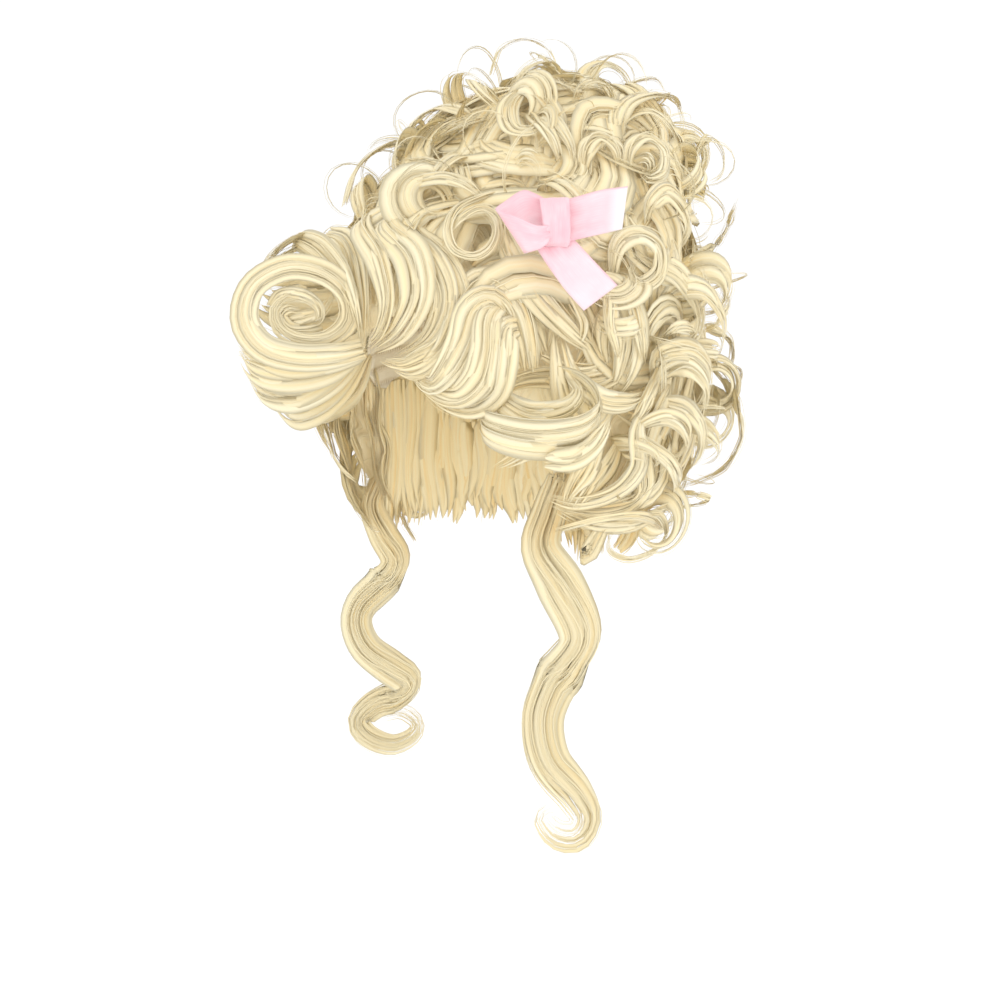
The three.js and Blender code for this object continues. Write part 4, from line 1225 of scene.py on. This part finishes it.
# Broad locks over the wearer's left side and the tower, as points picked on the photo. One has its
# places instead, as its end lies past the outline of the base.
broadLocks = [
    lockOf(12, 20, 12, (590, 298, 3), (594, 325, 5), (590, 350, 5), (576, 372, 3)),
    lockOf(12, 20, 14, (560, 262, 2), (566, 300, 4), (560, 330, 4), (548, 352, 3)),
    lockOf(10, 16, 17, (530, 262, 2), (520, 300, 4), (535, 335, 5), (548, 368, 3)),
    lockOf(5, 20, 16, (541, 357, 6), (560, 366, 10), (585, 372, 12), (608, 366, 10), (625, 352, 8)),
    lockOf(6, 20, 15, (548, 376, 6), (575, 388, 10), (604, 384, 12), (628, 370, 10)),
    lockOf(3, 16, 18, (463, 285, 6), (480, 276, 12), (500, 282, 14), (517, 300, 14), (527, 328, 12),
        (530, 358, 8)),
    lockOf(2.5, 12, 13, (465, 293, 8), (480, 287, 14), (495, 291, 16), (512, 310, 16), (520, 337, 12)),
    lockOf(2, 10, 13, (512, 262, 6), (522, 282, 8), (540, 308, 8), (560, 333, 6)),
    lockOf(2, 10, 12, (505, 270, 6), (515, 290, 8), (533, 315, 8), (552, 335, 6)),
    lockOf(3, 12, 12, (530, 262, 5), (545, 280, 7), (560, 300, 7), (572, 322, 6)),
    lockOf(4, 16, 12, (563, 290, 8), (574, 303, 12), (583, 320, 13), (582, 336, 12), (576, 350, 8)),
    lockOf(8, 32, 28, (654, 372, 12), (660, 356, 22), (688, 350, 27), (705, 364, 28), (709, 382, 27),
        (700, 402, 22), (686, 410, 14)),
    lockOf(6, 20, 14, (660, 366, 14), (652, 392, 22), (642, 412, 22), (628, 424, 14)),
    lockOf(7, 26, 21, (664, 402, 14), (688, 408, 24), (701, 426, 28), (701, 448, 27), (692, 466, 22),
        (678, 476, 12)),
    lockOf(8, 30, 34, (97, 132, -97), (109, 139, -114), (132, 118, -125), (136, 118, -144),
        (133, 112, -159), (121, 113, -171), (107, 109, -179), (91, 108, -185), placed=True),
    lockOf(4, 14, 15, (712, 386, 12), (718, 404, 18), (714, 424, 18), (702, 440, 12)),
    lockOf(6, 24, 21, (632, 432, 14), (650, 422, 24), (666, 419, 27), (681, 427, 27), (687, 442, 26),
        (680, 454, 22), (666, 459, 14)),
    lockOf(6, 24, 38, (630, 432, 16), (652, 446, 26), (668, 460, 28), (678, 476, 26), (680, 492, 16)),
    lockOf(2.5, 10, 35, (648, 512, 12), (684, 508, 16), (710, 500, 18), (690, 494, 16), (664, 492, 12)),
    lockOf(3, 12, 35, (640, 516, 14), (660, 514, 18), (667, 530, 20), (656, 549, 20), (632, 559, 18),
        (613, 554, 16), (609, 540, 14), (624, 522, 12)),
    lockOf(4, 14, 36, (556, 532, 8), (600, 519, 16), (640, 518, 20), (668, 530, 16)),
    lockOf(6, 26, 17, (606, 284, 12), (610, 300, 24), (611, 324, 27), (616, 346, 24), (620, 364, 14)),
    lockOf(6, 26, 18, (622, 280, 12), (634, 302, 25), (640, 328, 27), (643, 350, 24), (645, 366, 14)),
    lockOf(7, 28, 28, (613, 276, 12), (617, 250, 22), (628, 238, 26), (645, 236, 28), (660, 250, 28),
        (658, 272, 26), (642, 283, 24), (632, 272, 20), (640, 256, 16)),
    lockOf(7, 26, 20, (646, 222, 12), (652, 202, 24), (668, 191, 28), (684, 206, 28), (688, 230, 26),
        (678, 250, 18)),
    lockOf(6, 16, 18, (690, 262, 10), (710, 250, 16), (722, 236, 20), (731, 220, 22), (738, 196, 20),
        shape=(0.6, 0.04, 0.3)),
    lockOf(4, 14, 22, (705, 262, 12), (720, 282, 18), (728, 303, 20), (718, 322, 18), (702, 332, 12)),
    lockOf(8, 32, 30, (672, 248, 12), (662, 262, 22), (678, 272, 28), (690, 286, 28), (698, 304, 28),
        (700, 324, 27), (692, 340, 24), (668, 348, 14)),
    lockOf(4, 14, 14, (660, 340, 14), (676, 328, 26), (692, 331, 26), (688, 342, 18)),
    lockOf(9, 26, 14, (706, 326, 12), (722, 332, 18), (732, 344, 20), (731, 362, 16), (722, 376, 10)),
    lockOf(3, 10, 14, (706, 368, 12), (738, 369, 16), (740, 381, 16), (730, 396, 12)),
    lockOf(8, 30, 22, (566, 362, 10), (580, 384, 20), (604, 400, 25), (630, 402, 24), (648, 392, 14)),
    lockOf(7, 28, 38, (556, 150, 12), (560, 120, 22), (545, 96, 26), (522, 92, 26), (506, 108, 26),
        (512, 128, 26), (532, 132, 24), (542, 118, 20), (530, 108, 16)),
    lockOf(5, 20, 15, (530, 112, 18), (545, 125, 26), (556, 145, 26), (560, 165, 16)),
    lockOf(5, 20, 16, (538, 108, 18), (556, 122, 26), (570, 145, 26), (574, 166, 14)),
    lockOf(6, 22, 14, (584, 172, 10), (586, 150, 22), (600, 137, 26), (616, 148, 26), (620, 172, 14)),
    lockOf(6, 22, 24, (628, 178, 12), (630, 150, 24), (646, 136, 28), (664, 148, 28), (664, 170, 26),
        (648, 177, 22), (640, 162, 16)),
    lockOf(9, 32, 30, (618, 135, 12), (622, 108, 24), (645, 94, 26), (672, 98, 26), (686, 116, 24),
        (682, 138, 16)),
    lockOf(2.4, 14, 31, (505, 190, 14), (480, 197, 20), (456, 208, 24), (447, 228, 24), (454, 249, 22),
        (473, 256, 22), (490, 246, 24), (495, 228, 24), (484, 213, 22), (467, 211, 20), (457, 224, 16),
        shape=(0.5, 0.1, 0.4)),
    lockOf(3, 12, 19, (441, 264, 8), (445, 240, 16), (460, 219, 22), (484, 207, 24), (501, 220, 22),
        (500, 244, 16), (488, 262, 10), shape=(0.5, 0.1, 0.4)),
    lockOf(7, 26, 19, (398, 205, 12), (412, 186, 22), (440, 178, 26), (466, 184, 26), (484, 200, 16)),
    lockOf(2, 9, 19, (490, 75, 10), (500, 50, 16), (524, 40, 18), (548, 50, 16), (558, 72, 12)),
    lockOf(3, 10, 14, (618, 95, 10), (632, 82, 16), (655, 80, 16), (668, 92, 10)),
    lockOf(4, 14, 19, (690, 185, 10), (698, 152, 18), (712, 138, 20), (724, 152, 20), (722, 175, 16),
        (706, 184, 12)),
]

# Broad soft waves over the tower, the wearer's left side and the root of the left ringlet, most of them
# as picked points.
towerLocks = [
    lockOf(8, 18, 18, (15, -48, 27), (30, -41, 37), (44, -31, 40), (58, -26, 32), placed=True),
    lockOf(9, 20, 26, (368, 214, 6), (380, 184, 12), (406, 165, 15), (438, 168, 14), (462, 188, 8)),
    lockOf(9, 20, 25, (345, 205, 6), (356, 170, 12), (382, 148, 15), (412, 145, 13), (432, 162, 8)),
    lockOf(9, 20, 26, (398, 158, 6), (412, 125, 12), (440, 107, 15), (468, 115, 13), (484, 138, 8)),
    lockOf(8, 18, 17, (468, 178, 6), (482, 150, 11), (506, 132, 13), (532, 136, 12), (548, 160, 8)),
    lockOf(9, 20, 19, (540, 205, 6), (556, 172, 12), (584, 152, 15), (612, 158, 13), (626, 184, 8)),
    lockOf(8, 18, 16, (604, 150, -4), (622, 122, 4), (650, 112, 6), (672, 128, 4), (678, 152, -2),
        root=(76, 60, 72)),
    lockOf(8, 18, 17, (500, 120, -4), (516, 92, 4), (545, 80, 6), (572, 92, 4), (584, 118, -2),
        root=(25, 30, 90)),
    lockOf(10, 24, 15, (632, 272, 6), (622, 302, 11), (615, 335, 12), (622, 368, 8)),
    lockOf(9, 20, 18, (652, 318, 0), (676, 290, 6), (704, 290, 6), (722, 318, 0), (722, 350, -6),
        root=(124, 40, -40)),
    lockOf(9, 20, 19, (642, 412, 0), (656, 380, 6), (684, 366, 8), (706, 386, 2), (704, 420, -4),
        root=(128, 36, -92)),
    lockOf(10, 24, 12, (602, 432, 5), (592, 460, 9), (578, 484, 10), (565, 506, 8)),
    lockOf(9, 20, 13, (622, 436, 4), (610, 466, 8), (592, 492, 9), (571, 512, 8)),
]


def growFront(name, guides, nodes, seed):
    growStrands(name, guides, nodes, Girth=frontSettings["girth"], Bands=7, Band_Overlap=3.0,
                Band_Flatness=0.1, Band_Depth=0.2, Stray=0.4, Clumps=7, Clumping=0.3, Wander=0.006,
                Frizz=0.0006, Uneven_Ends=0.15, Seed=seed)


growFront("locks_drawn", drawnLocks(broadLocks, picked=True), [], 57)
growFront("locks_tower", drawnLocks(towerLocks, shape=(0.5, 0.12, 0.45), picked=True), [], 58)
growFront("front_roll", drawnLocks(rollLocks, rollCentre), ["roll_front_right"], 51)
frontWaves = drawnLocks(waveLocks, rollCentre) + drawnLocks(waveOnBase + hairlineLocks)
growFront("front_waves", frontWaves, ["wave_front"], 52)
growFront("forehead_lock", drawnLocks(foreheadLocks), ["lock_forehead_left"], 53)
growFront("temple_roll", drawnLocks(templeLocks, templeCentre), ["roll_temple_left"], 54)

# Locks that fall beside the wearer's right cheek, over the edge of the mass.
edgeLocks = [
    lockOf(9, 30, 20, (-66, -75, -86), (-76, -70, -100), (-74, -61, -120), (-84, -50, -142),
        (-81, -42, -165), (-90, -28, -190), (-86, -24, -212)),
    lockOf(8, 30, 20, (-66, -60, -90), (-69, -52, -106), (-75, -44, -126), (-73, -40, -146),
        (-80, -30, -168), (-77, -24, -190), (-82, -16, -210)),
    lockOf(8, 24, 18, (-69, -42, -96), (-74, -30, -114), (-72, -34, -136), (-75, -22, -156),
        (-74, -26, -178), (-78, -12, -198), (-76, -10, -214)),
    lockOf(8, 24, 18, (-76, -72, -84), (-88, -64, -100), (-92, -56, -120), (-98, -48, -140),
        (-96, -40, -164), (-102, -28, -186), (-98, -24, -206)),
]


# Locks that fall from the edge beside them: azimuth in degrees, height, length and swing.
fallingLocks = (
    (-57, -0.12, 0.10, 30),
    (-62, -0.22, 0.12, -30),
    (-66, -0.1, 0.13, 25),
    (-72, -0.25, 0.12, -35),
    (-79, -0.15, 0.12, 30),
    (-86, -0.3, 0.12, -30),
)


def rightLocks():
    guides = []
    for azimuth, height, length, swing in fallingLocks:
        lock = {"length": length, "steps": 22, "strands": 18, "wave": swing, "hook": swing, "lift": 0.006,
                "fling": 0.3, "halfWidth": 0.011, "halfDepth": 0.003}
        guides.append(surfaceGuide(math.radians(azimuth), height, -math.pi / 2, lock))
    return guides


cheekLocks = drawnLocks(sideLocks) + drawnLocks(edgeLocks, shape=(0.5, 0.3, 0.5))
growFront("side_locks", cheekLocks + rightLocks(), [], 55)

# The row of locks that turns up over the hem at the nape.
napeSettings = {
    "count": 15,
    "from": 108,
    "to": 262,
    "height": -0.5,
    "length": 0.085,
    "lift": 0.011,
    "halfWidth": 0.012,
    "halfDepth": 0.0035,
    "strands": 9,
    "steps": 18,
}


def napeLocks():
    guides = []
    turns = np.linspace(napeSettings["from"], napeSettings["to"], napeSettings["count"])
    for i, degrees in enumerate(turns):
        side = 1 if i % 2 else -1
        length = napeSettings["length"] + 0.012 * (i * 7 % 3 - 1)
        lock = {**napeSettings, "length": length, "wave": 30.0 * side, "hook": 95.0 * side, "fling": 0.9}
        height = napeSettings["height"] - 0.14 * (i * 5 % 3 - 1)
        guides.append(surfaceGuide(math.radians(degrees), height, -math.pi / 2 + 0.25 * side, lock))
    return guides


growStrands("locks_nape", napeLocks(), Girth=fillSettings["girth"], Bands=5, Band_Overlap=2.4, Clumps=4,
            Frizz=0.0015, Seed=59)


def farTemple():
    low, high = (np.array(corner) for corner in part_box("roll_temple_right"))
    centre = (low + high) / 2
    out = unit(centre * (1, 1, 0) - (0, 0.02, 0))
    guides = []
    for radius, lift, start in ((0.026, 0.0, 160), (0.020, 0.008, 200)):
        curl = {"radius": radius, "turns": 1.4, "closing": 0.45, "spin": -1, "start": start, "travel": 0.007,
                "lead": 0.04, "steps": 32, "strands": 26, "halfWidth": 0.0105, "halfDepth": 0.004}
        guides.append(curlGuide(centre + np.array((0, 0, lift)), out, (0.1, 0.05, 1.0), curl))
    return guides


growFront("temple_roll_far", farTemple(), ["roll_temple_right"], 56)

# The ringlets, picked on the photo from the root down, each wound round an upright line through its
# middle.
ringlets = {
    "ringlet_left": {"halfWidth": 17, "halfDepth": 8, "steps": 62, "shape": (0.6, 0.5, 0.4),
                     "root": (90, -38, -155), "rows": [
        (561, 474, 0), (549, 512, -6), (541, 547, 0), (560, 585, 7), (581, 633, 0), (566, 664, -7),
        (550, 690, -5), (541, 722, 0), (549, 762, 7), (575, 795, 6), (588, 818, 0), (577, 838, 6),
        (556, 836, 6), (543, 820, 0), (552, 812, -6)]},
    "ringlet_right": {"halfWidth": 13, "halfDepth": 7, "steps": 66, "shape": (0.6, 0.4, 0.4),
                      "root": (-83, -19, -180), "rows": [
        (381, 478, 0), (372, 506, 5), (384, 534, 6), (396, 560, 0), (382, 584, -7), (362, 604, -5),
        (356, 624, 0), (366, 648, 6), (390, 668, 6), (407, 682, 0), (396, 696, -7), (374, 706, -6),
        (360, 722, 0), (370, 738, 8), (394, 745, 10), (414, 735, 5), (417, 722, -3), (402, 712, -9),
        (384, 716, -9)]},
}
ringletSettings = {"strands": 42, "girth": 0.0005, "winding": 0.55}


def ringletGuide(ringlet):
    rows = pickedRows(ringlet["rows"], ringlet["root"]) * mm
    points = smoothPath(rows, ringlet["steps"])
    middle = points.copy()
    middle[:, 0], middle[:, 1] = rows[:, 0].mean(), rows[:, 1].mean()
    outward = unit(unit(points - middle) * ringletSettings["winding"] + board[2])
    return pathGuide(rows, ringlet["halfWidth"] * mm, ringlet["halfDepth"] * mm, ringlet["steps"],
                     ringletSettings["strands"], outward, ringlet["shape"])


for name, ringlet in ringlets.items():
    growStrands(f"{name}_strands", [ringletGuide(ringlet)], [name], Girth=ringletSettings["girth"], Bands=7,
                Band_Overlap=3.2, Band_Flatness=0.14, Band_Depth=0.2, Hollow=0.3, Stray=0.15, Clumps=8,
                Clumping=0.25, Wander=0.004, Frizz=0.001, Uneven_Ends=0.12, Seed=61)

# Loose hairs that stand off the mass in thin arcs.
flyawaySettings = {"count": 66, "strands": 4, "steps": 18, "girth": 0.0004, "halfWidth": 0.0022,
                   "halfDepth": 0.001, "lead": 0.03}


def flyaways():
    guides = []
    for i, azimuth, height in spreadPlaces(flyawaySettings["count"], 0.98, 1.93, 0.4):
        point, out, around, up = skinSeat(azimuth, height)
        turned = between(0, 2 * math.pi)
        axis = around * math.cos(turned) + up * math.sin(turned) + out * between(-0.4, 0.4)
        radius = between(0.014, 0.026)
        curl = {**flyawaySettings, "radius": radius, "turns": between(0.6, 1.0), "closing": between(0.0, 0.4),
                "spin": 1 if i % 2 else -1, "start": between(150, 210), "travel": between(0.0, 0.012)}
        guides.append(curlGuide(point + out * min(0.026, radius + 0.004), out, axis, curl))
    growStrands("flyaways", guides, Girth=flyawaySettings["girth"], Flatness=0.7, Bands=0, Clumps=2,
                Clumping=0.3, Wander=0.002, Frizz=0.0015, Seed=71)


flyaways()

# The bow: satin ribbon, drawn from the knot outwards, in millimetres to its right, up and out.
bowWays = boardWays(42, 14)
bowSettings = {
    "width": 27,
    "thickness": 0.0004,
    "slack": 1.02,
    "light": (0.97, 0.63, 0.68, 1.0),
    "deep": (0.94, 0.46, 0.53, 1.0),
    # The colour of the painted highlight, near white, where the satin catches the light.
    "pale": (0.97, 0.88, 0.91, 1.0),
    "roughness": 0.28,
    "gloss": 0.7,
    "sheen": 0.5,
    "weave": 0.00035,
}


def bowPlace():
    low, high = (np.array(corner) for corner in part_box("bow_knot"))
    return (low + high) / 2 - bowWays[2] * 6 * mm


def satinMaterial():
    material, tree = newMaterial("satinLook")
    place = addNode(tree, "ShaderNodeUVMap", uv_map="ribbon").outputs[0]
    split = addNode(tree, "ShaderNodeSeparateXYZ", {0: place}).outputs
    values = {"X": addMath(tree, "MULTIPLY", split[0], 1 / bowSettings["weave"]),
              "Y": addMath(tree, "MULTIPLY", split[1], 90.0)}
    threads = addNode(tree, "ShaderNodeCombineXYZ", values).outputs[0]
    weave, cloud = noiseOf(tree, threads, 1.0, 1.0), noiseOf(tree, place, 55.0, 2.0)
    tone = addMath(tree, "MULTIPLY_ADD", weave, 0.35, addMath(tree, "MULTIPLY", cloud, 0.65))
    ramp = addNode(tree, "ShaderNodeValToRGB", {"Fac": tone})
    for element, position, label in zip(ramp.color_ramp.elements, (0.35, 0.62), ("deep", "light")):
        element.position = position
        element.color = bowSettings[label]
    # Painted highlight: the ribbon is painted paler, near white, on its inner side and towards its ends,
    # where its satin catches the light.
    colour = mixed(tree, attribute(tree, "pale"), ramp.outputs["Color"], bowSettings["pale"])
    dress(tree, colour, {"Height": weave, "Strength": 0.25, "Distance": 0.0001},
          Roughness=bowSettings["roughness"], Specular_IOR_Level=bowSettings["gloss"],
          Sheen_Weight=bowSettings["sheen"], Sheen_Roughness=0.35)
    return material


satinLook = satinMaterial()


# A ribbon between two edges, each a row of points, with its hems' length and width as its UV map.
def ribbonPiece(name, oneEdge, otherEdge, held, nodes, steps=32, across=17, belly=0.0, gathers=0.0,
                fade=10.0, pale=((0, 0), (1, 0)), innerHighlight=0.0):
    near, far = (smoothPath(onBoard(edge, bowPlace() / mm, bowWays), steps) for edge in (oneEdge, otherEdge))
    share = np.linspace(0, 1, across)[:, None, None]
    grid = near * (1 - share) + far * share
    grid = grid + bowWays[2] * belly * mm * (np.sin(share * math.pi))
    stretches = np.linalg.norm(np.diff((near + far) / 2, axis=0), axis=1)
    run = np.concatenate([[0], np.cumsum(stretches)])
    close = np.exp(-run / (fade * mm)) + np.exp(-(run[-1] - run) / (fade * mm)) * (held == "folded")
    pleat = np.sin(share * 2 * math.pi * 2.5 + 0.7) * (1 - np.abs(2 * share - 1) ** 6)
    grid = grid + bowWays[2] * gathers * mm * pleat * close[None, :, None]
    starts = [j * steps + i for j in range(across - 1) for i in range(steps - 1)]
    faces = [(start, start + 1, start + steps + 1, start + steps) for start in starts]
    mesh = bpy.data.meshes.new(name)
    mesh.from_pydata([tuple(point) for point in grid.reshape(-1, 3)], [], faces)
    layer = mesh.uv_layers.new(name="ribbon")
    for loop in mesh.loops:
        j, i = divmod(loop.vertex_index, steps)
        layer.data[loop.index].uv = (j / (across - 1) * bowSettings["width"] * mm, run[i])
    # Painted highlight: a share of white laid along the ribbon and across its width, from its inner side out.
    along = np.interp(np.linspace(0, 1, steps), *zip(*pale))
    highlightShare = along[None, :] * np.clip((share[:, :, 0] - innerHighlight * 0.3) / max(innerHighlight * 0.5, 1e-3), 0, 1)
    highlightMark = mesh.attributes.new("pale", "FLOAT", "POINT")
    highlightMark.data.foreach_set("value", highlightShare.astype(np.float32).ravel())
    mesh.materials.append(satinLook)
    mesh.shade_smooth()
    piece = link(name, mesh)
    wall = piece.modifiers.new("wall", "SOLIDIFY")
    wall.thickness = bowSettings["thickness"]
    wall.offset = 0.0
    area = sum(face.area for face in mesh.polygons)
    piece.data = evaluatedMesh(piece)
    piece.modifiers.clear()
    handOver(piece, nodes)
    flat = (bowSettings["width"] * mm, run[-1] * bowSettings["slack"])
    area = min(area, flat[0] * run[-1] * bowSettings["slack"])
    tell(name, piece.data, "flat", round(run[-1] / mm, 1), "mm of ribbon,", round(area * 1e6), "mm2,")


# Each ribbon's two edges, in points across the bow, and where its painted highlight lies along it.
ribbonPiece("bow_loop_ribbon", [(-2, 13, 2), (-12, 19, 0), (-20, 21, 0), (-31, 14, 2), (-38, 8, 6),
                                (-33, 5, 12), (-24, 1, 15), (-13, -4, 15), (-4, -3, 11)],
            [(-2, -9, 0), (-7, -12, -3), (-12, -16, -3), (-17, -19, 0), (-20, -20, 4), (-19, -20, 7),
             (-17, -20, 9), (-10, -18, 11), (-4, -13, 9)],
            "folded", ["bow_loop"], gathers=1.0, innerHighlight=1.0,
            pale=((0.05, 0.2), (0.2, 0.9), (0.46, 1.0), (0.5, 0.1), (1, 0)))
ribbonPiece("bow_tail_ribbon_upper", [(-2, 12, 2), (14, 16, 3), (30, 20, 5), (46, 21, 12)],
            [(2, -14, 2), (16, -11, 4), (30, -8, 4), (42, -6, 10)], "hung", ["bow_tail_upper"],
            gathers=1.4, fade=14, pale=((0.3, 0), (0.75, 0.35), (0.9, 0.9), (1, 1)))
ribbonPiece("bow_tail_ribbon_lower", [(6, -4, 0.5), (16, -15, 1.5), (28, -28, 0.5), (40, -40, -2)],
            [(-12, -16, 0.5), (-4, -29, 1.5), (6, -43, 0.5), (18, -56, -3)], "hung", ["bow_tail_lower"],
            gathers=1.4, fade=14, pale=((0.1, 0.0), (0.5, 0.3), (1, 0.4)))
ribbonPiece("bow_knot_wrap", [(-10, 15, 1), (-10, 13, 8), (-9, 0, 11.5), (-9, -13, 8), (-10, -15, 1)],
            [(8, 16, 1), (9, 13, 9), (9, 0, 12.5), (9, -13, 9), (8, -16, 1)], "folded", ["bow_knot"],
            belly=1.2, gathers=0.5, fade=40)


# The pin behind the bow, in drawn steel wire.
def steelMaterial():
    material, tree = newMaterial("steelLook")
    place = addNode(tree, "ShaderNodeTexCoord").outputs["Object"]
    drawn = noiseOf(tree, place, 900.0, 2.0)
    ramp = addNode(tree, "ShaderNodeValToRGB", {"Fac": drawn})
    ramp.color_ramp.elements[0].color = (0.33, 0.34, 0.36, 1.0)
    ramp.color_ramp.elements[1].color = (0.62, 0.63, 0.65, 1.0)
    shader = tree.nodes["Principled BSDF"]
    tree.links.new(addMath(tree, "MULTIPLY_ADD", drawn, 0.3, 0.2), shader.inputs["Roughness"])
    bump = {"Height": drawn, "Strength": 0.2, "Distance": 0.0002}
    dress(tree, ramp.outputs["Color"], bump, Metallic=1.0)
    return material


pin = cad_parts["bow_pin"]
pin.data.materials.clear()
pin.data.materials.append(steelMaterial())

# The floor.
floorMesh = bpy.data.meshes.new("floor")
half = view["floorSpan"] / 2
corners = [(-half, -half, 0), (half, -half, 0), (half, half, 0), (-half, half, 0)]
floorMesh.from_pydata(corners, [], [(0, 1, 2, 3)])
floor = link("floor", floorMesh)
floor.location = (0, 0, view["floor"])
floorLook, floorTree = newMaterial("floorLook")
floorShader = floorTree.nodes["Principled BSDF"]
floorShader.inputs["Base Color"].default_value = (1.0, 1.0, 1.0, 1.0)
floorShader.inputs["Roughness"].default_value = 0.85
floorMesh.materials.append(floorLook)
